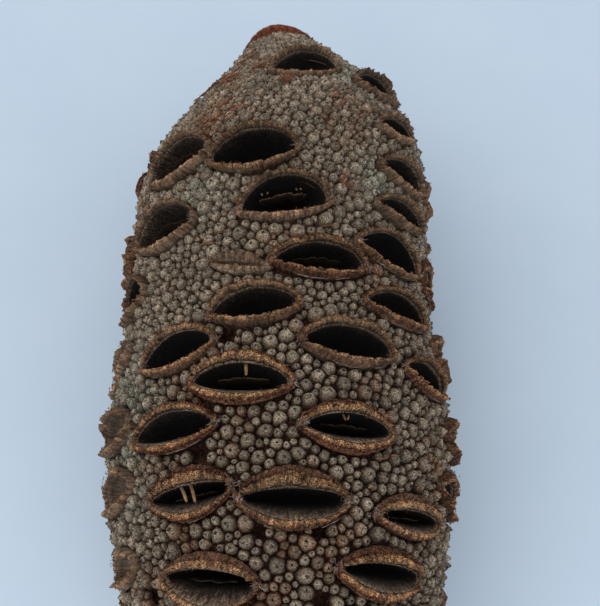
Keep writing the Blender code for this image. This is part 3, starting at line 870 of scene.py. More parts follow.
# How far the matted hair of the crown comes down on each side of the tip.
crownPlan = {
    "reach": [  # azimuth and distance from the tip
        (-180, 0.0150), (-120, 0.0190), (-95, 0.0230), (-75, 0.0220), (-60, 0.0150), (-30, 0.0136),
        (0, 0.0138), (30, 0.0142), (60, 0.0128), (90, 0.0105), (135, 0.0115), (180, 0.0150),
    ],
    "rows": 22,
    "columns": 90,
    "swell": 0.95 * mm,
    "rim": 0.4 * mm,  # how deep the rim of the felt dips between the knobs
    "lumps": 0.14 * mm,
    "hairs": 1700,
    "hairLength": (0.5 * mm, 1.1 * mm),
    "hairThickness": 0.085 * mm,  # real hairs are finer, and would not show
    "hairLean": (0, 0.5),  # sideways and back over the tip, as shares of a hair's length
    "hairBack": (0.5, 0.5),
    "hairFoot": 0.4 * mm,
    "hairRise": 0.7,
    "seeds": (61, 62),
}


def feltReach(turn):
    degrees = np.degrees(shortTurn(np.asarray(turn)))
    return np.interp(degrees, *np.array(crownPlan["reach"]).T)


# The knobs: one large and two small from each flower pair, packed tight round the follicles.
knobPlan = {
    "unitArea": 13.9 * mm * mm,  # of the bark for each pair
    "tipScale": 0.86,
    "fullFrom": 0.090,  # distance from the tip where the knobs reach their full size
    "firstKnob": 0.0060,
    "lastKnob": 12.0 * mm,  # before the stalk's end
    "largeRadius": (1.30 * mm, 2.00 * mm),
    "smallRadius": (0.80 * mm, 1.38 * mm),
    "smallOffsets": ((-1.20 * mm, 1.50 * mm), (1.20 * mm, 1.50 * mm)),
    "fillRadius": (0.55 * mm, 1.2 * mm),
    "fillStep": 1.0 * mm,
    "fillRounds": 2,
    "rounds": 11,
    "packing": 0.95,
    "push": (0.42, 0.8),  # share of an overlap that one round undoes, against a knob and against a guard
    "guardRadius": 0.45 * mm,
    "guards": 40,
    "crownGuards": 60,
    "seed": 7,
    # pairs are for the tip and for the base; sizes are shares of a knob's own radius
    "grown": (0.03, 0.12),  # distances from the tip
    "spread": (1.60, 1.38),  # how far a knob may reach
    "least": 0.35,
    "seam": 0.985,
    "overlap": (1.12, 1.05),
    "uneven": (0.90, 1.08),
    "height": (0.56, 0.78),
    "heights": (0.70, 1.22),  # the lowest and the highest knob, over the usual one
    "pierced": ((0.05, 0.13), (0.12, 0.55)),  # how many still show the dark dot of the flower's foot
    "roundness": (1.5, 2.5),
    "fullness": (0.68, 1.0),
    "lean": 0.16,  # towards the base
    "leanVariation": 0.13,
    "bumps": (0.105, 0.085),
    "rimDip": (0.15 * mm, 0.60 * mm),
    "rimStart": 0.8,
    "pointWidth": 0.22,
    "rustiness": (0.12, 0.17),  # of a knob outside the rusty places, and its variation
    "leastShade": (0.18, 0.17),  # on top of one that isn't pierced, and on its flanks
    "upperFlank": 0.84,  # how far down the painted shade of its flanks a knob near the tip shows
    "kinds": {  # rings as shares of the reach, sides, height of the point over the radius, seeds
        "largeKnobs": ((0.14, 0.30, 0.50, 0.72, 0.89, 1.0), 11, 0.26, (1, 4)),
        "smallKnobs": ((0.20, 0.45, 0.72, 0.90, 1.0), 8, 0.30, (2, 3)),
    },
    "bloomCentres": [  # azimuth, distance from the base end, size, strength: pale green-grey growth
        (32, 0.137, 0.006, 1), (-32, 0.101, 0.007, 1), (38, 0.104, 0.006, 1), (-62, 0.038, 0.010, 1),
        (-56, 0.056, 0.007, 1), (43, 0.090, 0.005, 1), (-70, 0.060, 0.010, 1), (120, 0.080, 0.014, 1),
    ],
    "rustCentres": [  # likewise, where brown still shows
        (-31, 0.120, 0.010, 0.9), (-38, 0.100, 0.012, 0.5), (-24, 0.051, 0.008, 0.8),
        (-12, 0.040, 0.009, 0.5), (14, 0.018, 0.006, 0.6), (-6, 0.010, 0.006, 0.9),
        (22, 0.022, 0.005, 0.8), (-30, 0.023, 0.005, 0.9), (5, 0.020, 0.005, 0.9),
        (-50, 0.012, 0.006, 0.8), (-7, 0.024, 0.004, 0.8), (-32, 0.133, 0.008, 0.7),
        (-20, 0.140, 0.005, 0.7), (20, 0.125, 0.005, 0.6), (24, 0.101, 0.005, 0.6),
        (-44, 0.036, 0.008, 0.6), (34, 0.078, 0.007, 0.6), (28, 0.119, 0.010, 0.7),
        (-18, 0.143, 0.010, 0.5), (5, 0.086, 0.006, 0.6), (30, 0.052, 0.006, 0.5),
        (60, 0.040, 0.010, 0.6), (-70, 0.105, 0.012, 0.6), (110, 0.060, 0.018, 0.6),
        (160, 0.110, 0.020, 0.6), (-130, 0.040, 0.018, 0.6), (-110, 0.090, 0.016, 0.5),
    ],
}


def knobScale(distance):
    grown = np.minimum(1.0, distance / knobPlan["fullFrom"])
    return knobPlan["tipScale"] + (1 - knobPlan["tipScale"]) * grown


def knobSeeds(plan, rng):
    # a spiral of flower pairs: azimuth, distance from the tip, radius, and 1 for a large knob
    share = plan["unitArea"] * knobScale(outline["distance"][1:]) ** 2
    counts = np.concatenate([[0], np.cumsum(outline["rings"] / share)])
    first = math.ceil(np.interp(plan["firstKnob"], outline["distance"], counts))
    last = math.floor(np.interp(coneLength - plan["lastKnob"], outline["distance"], counts))
    seeds = []
    for k in range(first, last):
        distance = float(np.interp(k, counts, outline["distance"]))
        azimuth = (k * goldenAngle) % fullTurn
        scale = float(knobScale(distance))
        seeds.append((azimuth, distance, rng.uniform(*plan["largeRadius"]) * scale, 1.0))
        for across, up in plan["smallOffsets"]:
            turn = azimuth + across * scale / float(outlineAt(distance, "radius"))
            radius = rng.uniform(*plan["smallRadius"]) * scale
            seeds.append((turn, distance - up * scale, radius, 0.0))
    return np.array(seeds)


def guardSpots(plan):
    # small fixed discs that keep the knobs off the follicles, the crown and the holes
    spots = []
    for one in follicles:
        across, up = one.edge(np.linspace(0, fullTurn, plan["guards"], endpoint=False))
        azimuth, distance = one.spot(across * 0.97, up * 0.97)
        spots.append(np.stack([azimuth, distance, np.full(len(azimuth), plan["guardRadius"])], axis=1))
    turns = np.linspace(0, fullTurn, plan["crownGuards"], endpoint=False)
    spots.append(np.stack([turns, feltReach(turns), np.full(len(turns), plan["guardRadius"])], axis=1))
    for turn, along, radius in barkPlan["holes"]:
        spots.append(np.array([[math.radians(turn), distanceAt(along), radius]]))
    return np.vstack(spots)


def treeOf(spots):
    tree = kdtree.KDTree(len(spots))
    for k, spot in enumerate(spots):
        tree.insert(spot, k)
    tree.balance()
    return tree


def neighboursOf(azimuth, distance, count, nearest):
    spots = onCone(azimuth, distance, 0.0)
    tree = treeOf(spots)
    return np.array([[k for _, k, _ in tree.find_n(spots[i], nearest + 1)][1:] for i in range(count)])


def offsets(azimuth, distance, count, near):
    radius = np.maximum(outlineAt(distance[:count], "radius"), mm)[:, None]
    sideways = shortTurn(azimuth[near] - azimuth[:count, None]) * radius
    tipward = distance[:count, None] - distance[near]
    return sideways, tipward, np.maximum(np.hypot(sideways, tipward), 0.01 * mm)


def gapTrials(plan, rng):
    least, step = plan["fillRadius"][0], plan["fillStep"]
    trials = []
    place = float(feltReach(0.0)) * 0.7
    while place < coneLength - plan["lastKnob"]:
        columns = max(6, int(fullTurn * float(outlineAt(place, "radius")) / step))
        for k in range(columns):
            trials.append(((k + rng.random()) * fullTurn / columns, place + rng.uniform(-0.3, 0.3) * step))
        place += step
    turns, places = np.array(trials).T
    free = places > feltReach(turns) + least
    for one in follicles:
        free &= ~one.covers(turns, places, least)
    return turns[free], places[free]


def fillGaps(azimuth, distance, radii, isLarge, plan, rng):
    # a small knob wherever there is room for one
    least, most = plan["fillRadius"]
    turns, places = gapTrials(plan, rng)
    tree = treeOf(onCone(azimuth, distance, 0.0))
    spots = onCone(turns, places, 0.0)
    room = np.array([min(away - radii[k] for _, k, away in tree.find_n(spot, 6)) for spot in spots])
    taken = []
    for k in np.argsort(-room):
        if room[k] < least:
            break
        if all(math.dist(spots[k], spots[other]) > 2 * least for other in taken):
            taken.append(k)
    count = len(isLarge)
    azimuth = np.concatenate([azimuth[:count], turns[taken], azimuth[count:]])
    distance = np.concatenate([distance[:count], places[taken], distance[count:]])
    radii = np.concatenate([radii[:count], np.clip(room[taken], least, most), radii[count:]])
    return azimuth, distance, radii, np.append(isLarge, np.zeros(len(taken), bool))


def packKnobs(plan):
    rng = random.Random(plan["seed"])
    seeds = knobSeeds(plan, rng)
    free = seeds[:, 1] > feltReach(seeds[:, 0]) + 0.3 * mm
    for one in follicles:
        free &= ~one.covers(seeds[:, 0], seeds[:, 1], 0.5 * mm)
    seeds = seeds[free]
    count = len(seeds)
    guards = guardSpots(plan)
    azimuth, distance, radii = (np.concatenate([seeds[:, k], guards[:, k]]) for k in range(3))
    onKnob, onGuard = plan["push"]
    for step in range(plan["rounds"]):
        if step % 3 == 0:
            near = neighboursOf(azimuth, distance, count, 9)
        sideways, tipward, apart = offsets(azimuth, distance, count, near)
        overlap = np.maximum((radii[:count, None] + radii[near]) * plan["packing"] - apart, 0)
        push = overlap * np.where(near >= count, onGuard, onKnob) / apart
        azimuth[:count] -= (push * sideways).sum(1) / np.maximum(outlineAt(distance[:count], "radius"), mm)
        distance[:count] += (push * tipward).sum(1)
    kept = np.ones(count, bool)  # leave out any that were pushed onto a follicle
    for one in follicles:
        kept &= ~one.covers(azimuth[:count], distance[:count], -0.2 * mm)
    isLarge = seeds[kept, 3] > 0.5
    kept = np.append(kept, np.ones(len(guards), bool))
    azimuth, distance, radii = azimuth[kept], distance[kept], radii[kept]
    for _ in range(plan["fillRounds"]):
        azimuth, distance, radii, isLarge = fillGaps(azimuth, distance, radii, isLarge, plan, rng)
    return azimuth, distance, radii, isLarge


def knobReach(packed, segments, plan):
    # how far each knob spreads in each direction before it meets its neighbours
    azimuth, distance, radii, isLarge = packed
    count = len(isLarge)
    near = neighboursOf(azimuth, distance, count, 10)
    sideways, tipward, apart = offsets(azimuth, distance, count, near)
    half = (apart ** 2 + radii[:count, None] ** 2 - radii[near] ** 2) / (2 * apart)
    angles = np.arange(segments) * fullTurn / segments
    facing = np.cos(angles[None, None, :] - np.arctan2(tipward, sideways)[:, :, None])
    limit = np.where(facing > 0.08, half[:, :, None] / np.maximum(facing, 0.08), 1.0)
    spread = np.interp(distance[:count], plan["grown"], plan["spread"])[:, None]
    reach = np.minimum(limit.min(axis=1), radii[:count, None] * spread)
    reach = np.maximum(reach, radii[:count, None] * plan["least"])
    reach = (np.roll(reach, 1, 1) + 3 * reach + np.roll(reach, -1, 1)) / 5  # rounder
    return reach * plan["seam"], angles


def patchStrength(patches, azimuth, distance, base):
    along = outlineAt(distance, "along")
    radius = outlineAt(distance, "radius")
    total = np.full(azimuth.shape, base)
    for turn, height, size, strength in patches:
        away = np.hypot(shortTurn(azimuth - math.radians(turn)) * radius, along - height) / size
        total = np.maximum(total, strength * np.exp(-away ** 2))
    return total


def knobForm(place, radius, reach, angles, rings, nipple, rng, plan):
    # offsets from each knob's middle, heights and shares of the reach, from the top to the rim
    total = len(place)
    stature = np.interp(place, plan["grown"], plan["height"])
    top = (radius * stature * rng.uniform(*plan["heights"], total))[:, None]
    point = (radius * nipple * np.maximum(0.0, rng.normal(0.7, 0.5, total)))[:, None]
    shift = rng.normal(0, plan["leanVariation"], (total, 2)) * radius[:, None]
    shift[:, 1] += plan["lean"] * radius
    roundness = rng.uniform(*plan["roundness"], (total, 1))
    fullness = rng.uniform(*plan["fullness"], (total, 1))
    pierced = rng.random((total, 1)) < np.interp(place, *plan["pierced"])[:, None]
    nearBase = np.interp(place, barkPlan["between"], (0.0, 1.0))[:, None]  # the upper knobs grow together
    bumps, dip = (first + (last - first) * nearBase for first, last in (plan["bumps"], plan["rimDip"]))
    rimStart = plan["rimStart"]
    onTop, onFlank = plan["leastShade"]
    # the upper knobs, which grow together, show less of the painted shade at their rims
    flank = plan["upperFlank"] + (1 - plan["upperFlank"]) * nearBase
    sideways, heights, shares = [], [], []
    for share in (0.0, *rings):
        dome = (1 - share ** roundness) ** fullness
        peak = math.exp(-((share / plan["pointWidth"]) ** 2))
        rim = dip * max(0.0, (share - rimStart) / (1 - rimStart)) ** 1.5
        width = 1 if share == 0 else len(angles)
        spread = np.zeros((total, 1)) if share == 0 else reach * share
        rough = rng.normal(0, 1, (total, width)) * radius[:, None] * bumps
        sideways.append(np.stack([
            spread * np.cos(angles[:width]) + shift[:, :1] * (1 - share),
            spread * np.sin(angles[:width]) + shift[:, 1:] * (1 - share),
        ], axis=-1))
        heights.append(top * dome + point * peak - rim + rough)
        least = np.where(pierced, 0.0, onTop) if share == 0 else onFlank
        shares.append(np.broadcast_to(np.maximum(share, least) * flank, (total, width)))
    return (np.concatenate(rows, axis=1) for rows in (sideways, heights, shares))


def knobMesh(name, chosen, packed, limits, rings, nipple, seed, plan):
    rng = np.random.default_rng(seed)
    reach, angles = limits
    turn, place, radius = (column[chosen] for column in packed[:3])
    reach = reach[chosen] * np.interp(place, barkPlan["between"], plan["overlap"])[:, None]
    reach = reach * rng.uniform(*plan["uneven"], reach.shape)
    local, heights, shares = knobForm(place, radius, reach, angles, rings, nipple, rng, plan)
    total, each = heights.shape
    around = turn[:, None] + local[:, :, 0] / np.maximum(outlineAt(place, "radius"), mm)[:, None]
    points = onCone(around, place[:, None] - local[:, :, 1], heights)
    segments = len(angles)
    starts = (np.arange(total) * each)[:, None, None]
    tops = np.array([[0, 1 + k, 1 + (k + 1) % segments] for k in range(segments)])[None] + starts
    sides = gridFaces(len(rings), segments, start=1)[None] + starts
    faces = tops.reshape(-1, 3).tolist() + sides.reshape(-1, 4).tolist()
    usual, variation = plan["rustiness"]
    rust = patchStrength(plan["rustCentres"], turn, place, usual) + rng.normal(0, variation, total)
    rust = np.clip(rust, 0, 1)
    tone = rng.random(total)
    lichen = patchStrength(plan["bloomCentres"], turn, place, 0.0) * rng.uniform(0.3, 1.0, total)
    values = {
        "reach": shares.ravel(),
        "tone": np.repeat(tone, each),
        "rust": np.repeat(rust, each),
        "lichen": np.repeat(lichen, each),
    }
    return newMesh(name, points, faces, knobWood, values)


def raiseKnobs(plan):
    packed = packKnobs(plan)
    isLarge = packed[3]
    print("packed", isLarge.sum(), "large knobs and", (~isLarge).sum(), "small")
    pieces = []
    for kind, wanted in (("largeKnobs", isLarge), ("smallKnobs", ~isLarge)):
        rings, segments, nipple, seeds = plan["kinds"][kind]
        limits = knobReach(packed, segments, plan)
        chosen = np.flatnonzero(wanted)
        # all of one kind would be too many triangles for a piece
        for half, seed in enumerate(seeds):  # each kind goes into two pieces, every other knob in each
            name = kind + "AB"[half]
            pieces.append(knobMesh(name, chosen[half::2], packed, limits, rings, nipple, seed, plan))
    return pieces


knobPieces = raiseKnobs(knobPlan)
print("raised the knobs:", sum(len(piece.data.polygons) for piece in knobPieces), "faces")


# The separators: thin loose plates standing in some of the follicles, with broken prongs.
separatorPlan = {
    "inFollicles": (3, 5, 8, 9, 18, 21, 23, 25, 27),  # by their place in the list of those in view
    "outline": [  # share of the half width, top and foot of the plate in mm
        (-0.50, -1.9, -3.2), (-0.36, -1.3, -5.0), (-0.22, -1.0, -6.4), (-0.13, -0.4, -6.6),
        (-0.06, -0.8, -6.6), (0.00, -1.2, -6.6), (0.06, -0.5, -6.6), (0.13, -0.4, -6.6),
        (0.22, -1.0, -6.4), (0.36, -1.3, -5.0), (0.50, -1.8, -3.2),
    ],
    "steps": (0.0, 0.4, 0.7, 0.85, 0.95, 1.0),  # rows up each face, as shares of the height
    "place": 0.2,  # share of the gape, from the middle towards the tip
    "thickness": 0.45 * mm,
    "thinner": 0.55,  # at the torn edge
    "columns": 40,
    "ragged": 0.2,  # how uneven the torn edge is, in mm
    "wave": (0.12 * mm, 14, 2),  # height, and waves along and up the plate
    "lightDepth": (0.5 * mm, 4 * mm),  # painted shade: the plate darkens down from its torn edge into the hollow
    # painted light at the torn edge and deep down, and at the torn edge of some plates by their place
    "light": (0.10, 0.02),
    "paintedEdgeLight": {5: 0.40, 18: 0.22},
    "seed": 41,
    "prongs": {  # shares of the half width and of the gape where one starts, lean, length, thickness in mm
        18: [(0.10, 0.90, 0.1, 2.1, 0.36)],
        23: [(-0.12, 0.98, 0.35, 2.9, 0.36), (0.10, 0.98, 0.20, 3.3, 0.36)],
        21: [(-0.14, 0.85, 0.5, 1.0, 0.22), (-0.02, 0.85, -0.4, 0.9, 0.22)],
        5: [(-0.42, 0.24, 0.2, 0.4, 0.22), (-0.30, 0.26, -0.2, 0.4, 0.22), (0.26, 0.26, 0.3, 0.4, 0.22),
            (0.34, 0.26, 0.3, 0.4, 0.22)],
    },
    "thickProng": 0.3,  # one thicker than this is given more painted light than the others
    "prongLight": (0.6, 1.0),
}


def separatorPlate(follicle, plan, rng):
    across, top, foot = np.array(plan["outline"]).T
    shares = np.linspace(across[0], across[-1], plan["columns"])
    upperEdge = np.interp(shares, across, top) * mm
    upperEdge += mm * np.array([rng.gauss(0, plan["ragged"]) for _ in shares])
    lowerEdge = np.interp(shares, across, foot) * mm
    light = plan["paintedEdgeLight"].get(follicles.index(follicle), plan["light"][0]), *plan["light"]
    middle = follicle.mouthMiddle + follicle.halfGape * plan["place"]
    rise, along, upward = plan["wave"]
    rows = []
    daylight = []
    for side in (-1, 1):
        for step in plan["steps"][::-side]:
            height = lowerEdge + (upperEdge - lowerEdge) * step
            half = plan["thickness"] * (1 - plan["thinner"] * step) / 2
            wave = rise * np.sin(shares * along + step * upward)
            azimuth, distance = follicle.spot(shares * follicle.halfWidth, middle + side * half + wave)
            rows.append(onCone(azimuth, distance, height))
            daylight.append(np.interp(upperEdge - height, (0, *plan["lightDepth"]), light))
    points = np.stack(rows)  # up one face of the plate and down the other
    rowCount, columns = points.shape[:2]
    faces = gridFaces(rowCount, columns, closed=False).tolist()
    last = (rowCount - 1) * columns
    faces += [[k, last + k, last + k + 1, k + 1] for k in range(columns - 1)]
    for column in (0, columns - 1):
        ring = [row * columns + column for row in range(rowCount)]
        faces.append(ring if column else ring[::-1])
    return points.reshape(-1, 3), faces, {"daylight": np.concatenate(daylight)}


def prong(follicle, splinter, plan, rng):
    # a blunt splinter of the plate, leaning across the mouth
    share, start, lean, length, thickness = splinter
    sides = 6
    steps = np.linspace(0, 1, 6)
    across = share * follicle.halfWidth + lean * length * mm * steps
    up = follicle.mouthMiddle + follicle.halfGape * start - length * mm * steps
    height = mm * (0.7 + 0.25 * steps + 0.1 * np.sin(steps * 5 + rng.uniform(0, 6)))
    path = onCone(*follicle.spot(across, up), height)
    points, faces, _ = strand(path, thickness * mm, sides=sides, pointed=0.2)
    mostDaylight = plan["prongLight"][thickness > plan["thickProng"]]
    light = np.repeat(mostDaylight * (0.45 + 0.55 * steps), sides)  # painted light: brightest at its broken end, which is pale, and darker in painted shade towards its root under the lip
    return points, faces, {"daylight": np.append(light, mostDaylight)}


def addSeparators(plan):
    rng = random.Random(plan["seed"])
    pieces = []
    for number, place in enumerate(plan["inFollicles"], 1):
        parts = [separatorPlate(follicles[place], plan, rng)]
        for splinter in plan["prongs"].get(place, []):
            parts.append(prong(follicles[place], splinter, plan, rng))
        points, faces, values = joined(parts)
        piece = newMesh(f"separatorPlate{number}", points, faces, separatorWood, values, smooth=False)
        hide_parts(f"separator_{number:02d}")
        pieces.append(piece)
    return pieces


separators = addSeparators(separatorPlan)


# Stray fibres, tufts and crumbs on the follicles. Real hairs are finer, and would not show.
fluffPlan = {
    "seed": 53,
    "mouthWidth": 0.87,
    "wool": {  # in the corners of the mouths: how many in view and behind, then how each one wanders
        "number": (27, 4),
        "length": (0.7 * mm, 1.9 * mm),
        "thickness": (0.060 * mm, 0.1125 * mm),
        "steps": 5,
        "bend": 0.7,
        "rise": (0.02 * mm, 0.12 * mm),
        "heights": (0.5 * mm, 2.2 * mm),
    },
    "fringe": {  # along the lips
        "number": (100, 10),
        "length": (0.35 * mm, 1.3 * mm),
        "thickness": (0.060 * mm, 0.105 * mm),
        "steps": 4,
        "bend": 0.4,
        "rise": (0.0, 0.08 * mm),
        "heights": (-1.0 * mm, 6.0 * mm),
    },
    "flakes": {"number": (14, 4), "size": (0.4 * mm, 1.1 * mm), "thickness": 0.12 * mm, "corners": 6},
    "wisps": {
        "most": 4,
        "length": (2.0 * mm, 5.0 * mm),
        "thickness": 0.10 * mm,
        "steps": 8,
        "clear": (0.1 * mm, 0.25 * mm),
        "heights": (1.2 * mm, 1.6 * mm),
    },
    "straws": {  # strands left between the knobs
        "places": [  # azimuth, distance from the base end, spread, number
            (-52, 0.137, 0.006, 24), (-34, 0.134, 0.004, 16), (-36, 0.146, 0.005, 16),
            (-20, 0.140, 0.003, 10), (-12, 0.1365, 0.0025, 8), (-4, 0.1298, 0.002, 14),
            (20, 0.126, 0.004, 14), (-30, 0.121, 0.006, 20), (-22, 0.113, 0.003, 10),
            (8, 0.086, 0.006, 9), (-24, 0.090, 0.006, 8), (24, 0.101, 0.004, 10),
            (28, 0.036, 0.010, 7), (120, 0.100, 0.020, 8), (-140, 0.070, 0.025, 8),
        ],
        "usualRadius": 0.033,
        "length": (1.6 * mm, 4.5 * mm),
        "thickness": (0.12 * mm, 0.27 * mm),
        "steps": 6,
        "heading": (-0.5, 0.35),  # towards the right and the tip
        "bend": 0.25,
        "clear": 0.5 * mm,
        "heights": (1.0 * mm, 1.6 * mm),
    },
}


def looseHair(follicle, across, up, height, kind, rng):
    heading = rng.uniform(0, fullTurn)
    step = rng.uniform(*kind["length"]) / kind["steps"]
    lowest, highest = kind["heights"]
    path = []
    for _ in range(kind["steps"]):
        path.append(onCone(*follicle.spot(across, up), height))
        heading += rng.gauss(0, kind["bend"])
        across += math.cos(heading) * step
        up += math.sin(heading) * step
        height = min(max(height + rng.gauss(*kind["rise"]), lowest), highest)
    return strand(path, rng.uniform(*kind["thickness"]))


def wool(follicle, side, plan, rng):
    across = side * follicle.halfWidth * rng.uniform(0.86, 1.0)
    up = rng.gauss(0, 0.45 * mm) + follicle.skew * across
    return looseHair(follicle, across, up, rng.uniform(0.8, 1.9) * mm, plan["wool"], rng)


def onLip(follicle, turn, share, plan):
    outerX, outerY = follicle.edge(np.array([turn]))
    mouthX, mouthY, _ = follicle.mouth(np.array([turn]), plan["mouthWidth"])
    return float((mouthX + (outerX - mouthX) * share)[0]), float((mouthY + (outerY - mouthY) * share)[0])


def fringeHair(follicle, plan, rng):
    turn = rng.uniform(0, fullTurn)
    share = rng.choice((rng.uniform(0.0, 0.25), rng.uniform(0.5, 1.0)))  # at the mouth or at the foot
    across, up = onLip(follicle, turn, share, plan)
    return looseHair(follicle, across, up, follicle.lipHeight(turn, share), plan["fringe"], rng)


def wisp(follicle, kind, rng):
    # a bleached fibre lying along the foot of the lower lip
    length = rng.uniform(*kind["length"])
    start = rng.uniform(-0.6, 0.5) * follicle.halfWidth
    path = []
    for k in range(kind["steps"]):
        across = start + length * k / (kind["steps"] - 1)
        turn = -math.acos(max(-1.0, min(1.0, across / (follicle.halfWidth * 1.05))))
        _, up = follicle.edge(np.array([turn]), grow=rng.uniform(*kind["clear"]))
        path.append(onCone(*follicle.spot(across, float(up[0])), rng.uniform(*kind["heights"])))
    return strand(path, kind["thickness"])


def flake(follicle, plan, rng):
    # a torn scrap of husk lying on a lip
    kind = plan["flakes"]
    count = kind["corners"]
    turn = rng.uniform(0, fullTurn)
    share = rng.uniform(0.15, 0.95)
    across, up = onLip(follicle, turn, share, plan)
    lip = follicle.lipHeight(turn, share)
    size = rng.uniform(*kind["size"])
    corners = []
    for k in range(count):
        reach = size * rng.uniform(0.3, 0.7)
        spot = follicle.spot(across + reach * math.cos(k), up + reach * math.sin(k))
        corners.append(onCone(*spot, lip + rng.uniform(-0.15, 0.35) * mm))
    corners = np.array(corners)
    under = corners - np.array((0, 0, kind["thickness"]))
    faces = [list(range(count)), list(range(count, 2 * count))[::-1]]
    faces += [[k, count + k, count + (k + 1) % count, (k + 1) % count] for k in range(count)]
    return np.vstack([corners, under]), faces, {}


def straw(azimuth, along, kind, rng):
    # a dry strand lying over the knobs
    step = rng.uniform(*kind["length"]) / kind["steps"]
    heading = rng.gauss(*kind["heading"])
    distance = distanceAt(along)
    path = []
    for _ in range(kind["steps"]):
        path.append(onCone(azimuth, distance, rng.uniform(*kind["heights"])))
        azimuth += math.cos(heading) * step / float(outlineAt(distance, "radius"))
        distance += math.sin(heading) * step
        heading += rng.gauss(0, kind["bend"])
    return strand(path, rng.uniform(*kind["thickness"]))


def strawsOver(kind, rng):
    straws = []
    for azimuth, along, spread, number in kind["places"]:
        for _ in range(number):
            turn = math.radians(azimuth) + rng.gauss(0, spread / 2) / kind["usualRadius"]
            place = along + rng.gauss(0, spread / 2)
            if not any(one.covers(turn, distanceAt(place), kind["clear"]) for one in follicles):
                straws.append(straw(turn, place, kind, rng))
    return straws


def addFluff(plan):
    rng = random.Random(plan["seed"])
    wools, hairs = [], []
    for k, one in enumerate(follicles):
        woolCount, fringeCount, flakeCount = (
            plan[kind]["number"][k >= inView] for kind in ("wool", "fringe", "flakes")
        )
        for side in (-1, 1):
            wools += [wool(one, side, plan, rng) for _ in range(woolCount)]
        hairs += [fringeHair(one, plan, rng) for _ in range(fringeCount)]
        hairs += [flake(one, plan, rng) for _ in range(flakeCount)]
        wisps = rng.randint(0, 2 * plan["wisps"]["most"] + 1) // 2
        wools += [wisp(one, plan["wisps"], rng) for _ in range(wisps)]
    straws = strawsOver(plan["straws"], rng)
    return [
        newMesh("cornerWool", *joined(wools)[:2], paleWool),
        newMesh("fringeHairs", *joined(hairs)[:2], dryHair),
        newMesh("straws", *joined(straws)[:2], tornBark),
    ]


fluff = addFluff(fluffPlan)
print("added the fluff:", sum(len(piece.data.polygons) for piece in fluff), "faces")


# The crown: matted hair at the very tip, beyond the last knobs.
def addCrown(plan):
    rng = random.Random(plan["seeds"][0])
    lumps = np.random.default_rng(plan["seeds"][1])
    rows = []
    for row in range(1, plan["rows"] + 1):
        share = row / plan["rows"]
        turns = np.linspace(0, fullTurn, plan["columns"], endpoint=False)
        swell = plan["swell"] * (1 - share ** 4) - plan["rim"] * share ** 6
        height = swell + lumps.normal(0, plan["lumps"], plan["columns"])
        rows.append(onCone(turns, feltReach(turns) * share, height))
    points = np.vstack(rows + [onCone(0.0, 0.0, plan["swell"])[None]])
    faces = gridFaces(plan["rows"], plan["columns"]).tolist()
    middle = len(points) - 1
    faces += [[middle, (k + 1) % plan["columns"], k] for k in range(plan["columns"])]
    hairs = []
    for _ in range(plan["hairs"]):
        turn = rng.uniform(0, fullTurn)
        distance = float(feltReach(turn)) * math.sqrt(rng.random()) * 1.02
        length = rng.uniform(*plan["hairLength"])
        lean = rng.gauss(*plan["hairLean"]) * length / max(float(outlineAt(distance, "radius")), mm)
        back = rng.gauss(*plan["hairBack"]) * length
        path = []
        for share in (0.0, 0.5, 1.0):
            height = plan["hairFoot"] + length * plan["hairRise"] * share
            path.append(onCone(turn + lean * share, max(distance - back * share, 0.0), height))
        hairs.append(strand(path, plan["hairThickness"]))
    return [
        newMesh("crownFelt", points, faces, rustFelt),
        newMesh("crownHairs", *joined(hairs)[:2], rustFelt),
    ]


crown = addCrown(crownPlan)


# The end grain of the cut stalk.
stalkPlan = {"rings": 10, "columns": 48, "dents": (0.25 * mm, 0.05 * mm), "dome": 0.1 * mm, "seed": 71}


def addStalkEnd(plan):
    columns = plan["columns"]
    lumps = np.random.default_rng(plan["seed"])
    centre = onCone(0.0, coneLength, 0.0) * (0, 1, 0) + (coneShape["lean"][0][1], 0, coneShape["axisHeight"])
    radius = float(outlineAt(coneLength, "radius"))
    turns = np.linspace(0, fullTurn, columns, endpoint=False)
    uneven, least = plan["dents"]
    rows = []
    for k in range(1, plan["rings"] + 1):
        share = k / plan["rings"]
        dent = uneven * np.abs(lumps.normal(0, 1, columns)) + least
        ring = radius * share * np.sin(turns), dent * (share < 1), radius * share * np.cos(turns)
        rows.append(centre + np.stack(ring, axis=-1))
    points = np.vstack(rows + [(centre + (0, plan["dome"], 0))[None]])
    faces = gridFaces(plan["rings"], columns).tolist()
    faces += [[len(points) - 1, k, (k + 1) % columns] for k in range(columns)]
    return newMesh("stalkEnd", points, faces, cutWood)


stalkEnd = addStalkEnd(stalkPlan)
print("added the crown and the stalk's end")


# Camera, light and floor.
stagePlan = {
    "cameraAlong": -0.0190,  # from the base end
    "cameraRise": 0.2270,  # over the axis
    "cameraSide": 0.0048,
    "cameraTilt": 25,
    "lens": 59.4,
    "sensor": 36,
    "sky": "#edf2f7",
    "skyStrength": 1.05,
    "brighterLeft": 0.15,  # how much the sky brightens to the left, and darkens to the right
    "sunFrom": (-0.75, 0.45, 1.0),
    "sunStrength": 0.50,
    "sunWidth": 65,
    "sunColour": "#fff8ee",
    "floorLines": (-3.0, -1.0, -0.3, -0.1, -0.05, 0.0, 0.05, 0.2, 1.0, 3.0),
    "floorDrop": 0.1 * mm,
    "floorPaint": [(0.3, "#bccbda"), (0.7, "#c1cfdd")],
    "paintedNearLight": ((-0.10, 0.05), (1.20, 1.03)),  # painted light: the board is painted brighter towards its near edge
}


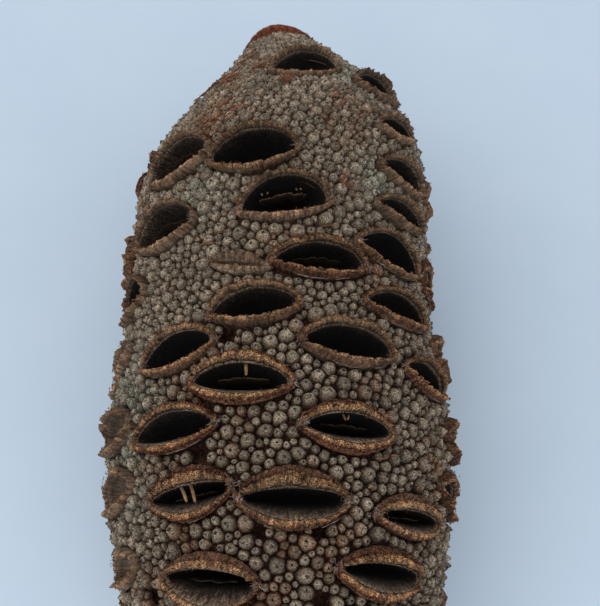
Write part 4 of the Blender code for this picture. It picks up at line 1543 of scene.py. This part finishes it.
def addCamera(plan):
    camera = bpy.data.cameras.new("camera")
    camera.lens = plan["lens"]
    camera.sensor_width = plan["sensor"]
    camera.clip_start = 0.01
    holder = bpy.data.objects.new("camera", camera)
    holder.location = (
        plan["cameraSide"],
        plan["cameraAlong"] - coneShape["middle"],
        plan["cameraRise"] + coneShape["axisHeight"],
    )
    holder.rotation_euler = (math.radians(plan["cameraTilt"]), 0, 0)
    bpy.context.scene.collection.objects.link(holder)
    bpy.context.scene.camera = holder


def addSky(plan):
    world = bpy.data.worlds.new("soft sky")
    bpy.context.scene.world = world
    world.use_nodes = True
    tree = world.node_tree
    sky = tree.nodes["Background"]
    sky.inputs["Color"].default_value = linear(plan["sky"])
    heading = addNode(tree, "SeparateXYZ", links={"Vector": addNode(tree, "TexCoord").outputs["Generated"]})
    least, most = (plan["skyStrength"] * (1 + turn * plan["brighterLeft"]) for turn in (-1, 1))
    strength = remap(tree, heading.outputs["X"], -1.0, 1.0, most, least)
    tree.links.new(strength, sky.inputs["Strength"])


def addSun(plan):
    light = bpy.data.lights.new("sun", "SUN")
    light.energy = plan["sunStrength"]
    light.angle = math.radians(plan["sunWidth"])
    light.color = linear(plan["sunColour"])[:3]
    holder = bpy.data.objects.new("sun", light)
    holder.rotation_euler = Vector(plan["sunFrom"]).to_track_quat("Z", "Y").to_euler()
    bpy.context.scene.collection.objects.link(holder)


def addFloor(plan):
    lines = np.array(plan["floorLines"])
    x, y = np.meshgrid(lines, lines, indexing="xy")
    points = np.stack([x, y, np.full_like(x, -plan["floorDrop"])], -1)
    faces = gridFaces(len(lines), len(lines), closed=False).tolist()
    # board rolled with a matt paint: flat pale blue-grey with hardly any texture
    paint = patternedWood("matt painted board", plan["floorPaint"], 40 * mm, 0.9, 0.02 * mm, fades=True)
    # painted light, brightening the board towards its near edge
    paintedNearLight = {"daylight": np.interp(y, *plan["paintedNearLight"]).ravel()}
    newMesh("floor", points, faces, paint, paintedNearLight, inBox=False)


def addStage(plan):
    addCamera(plan)
    addSky(plan)
    addSun(plan)
    addFloor(plan)
    bpy.context.scene.view_settings.view_transform = "Standard"


addStage(stagePlan)
print("set the stage")

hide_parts("cone")
conePieces = huskPieces + knobPieces + fluff + crown + [bark, stalkEnd]
for pieces, slot in ((conePieces, "cone_wood"), (separators, "separator_wood")):
    for piece in pieces:
        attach(piece, "root")

counts = [sum(len(face.vertices) - 2 for face in piece.data.polygons) for piece in conePieces + separators]
print("triangles:", sum(counts), "in all and at most", max(counts), "in a piece")
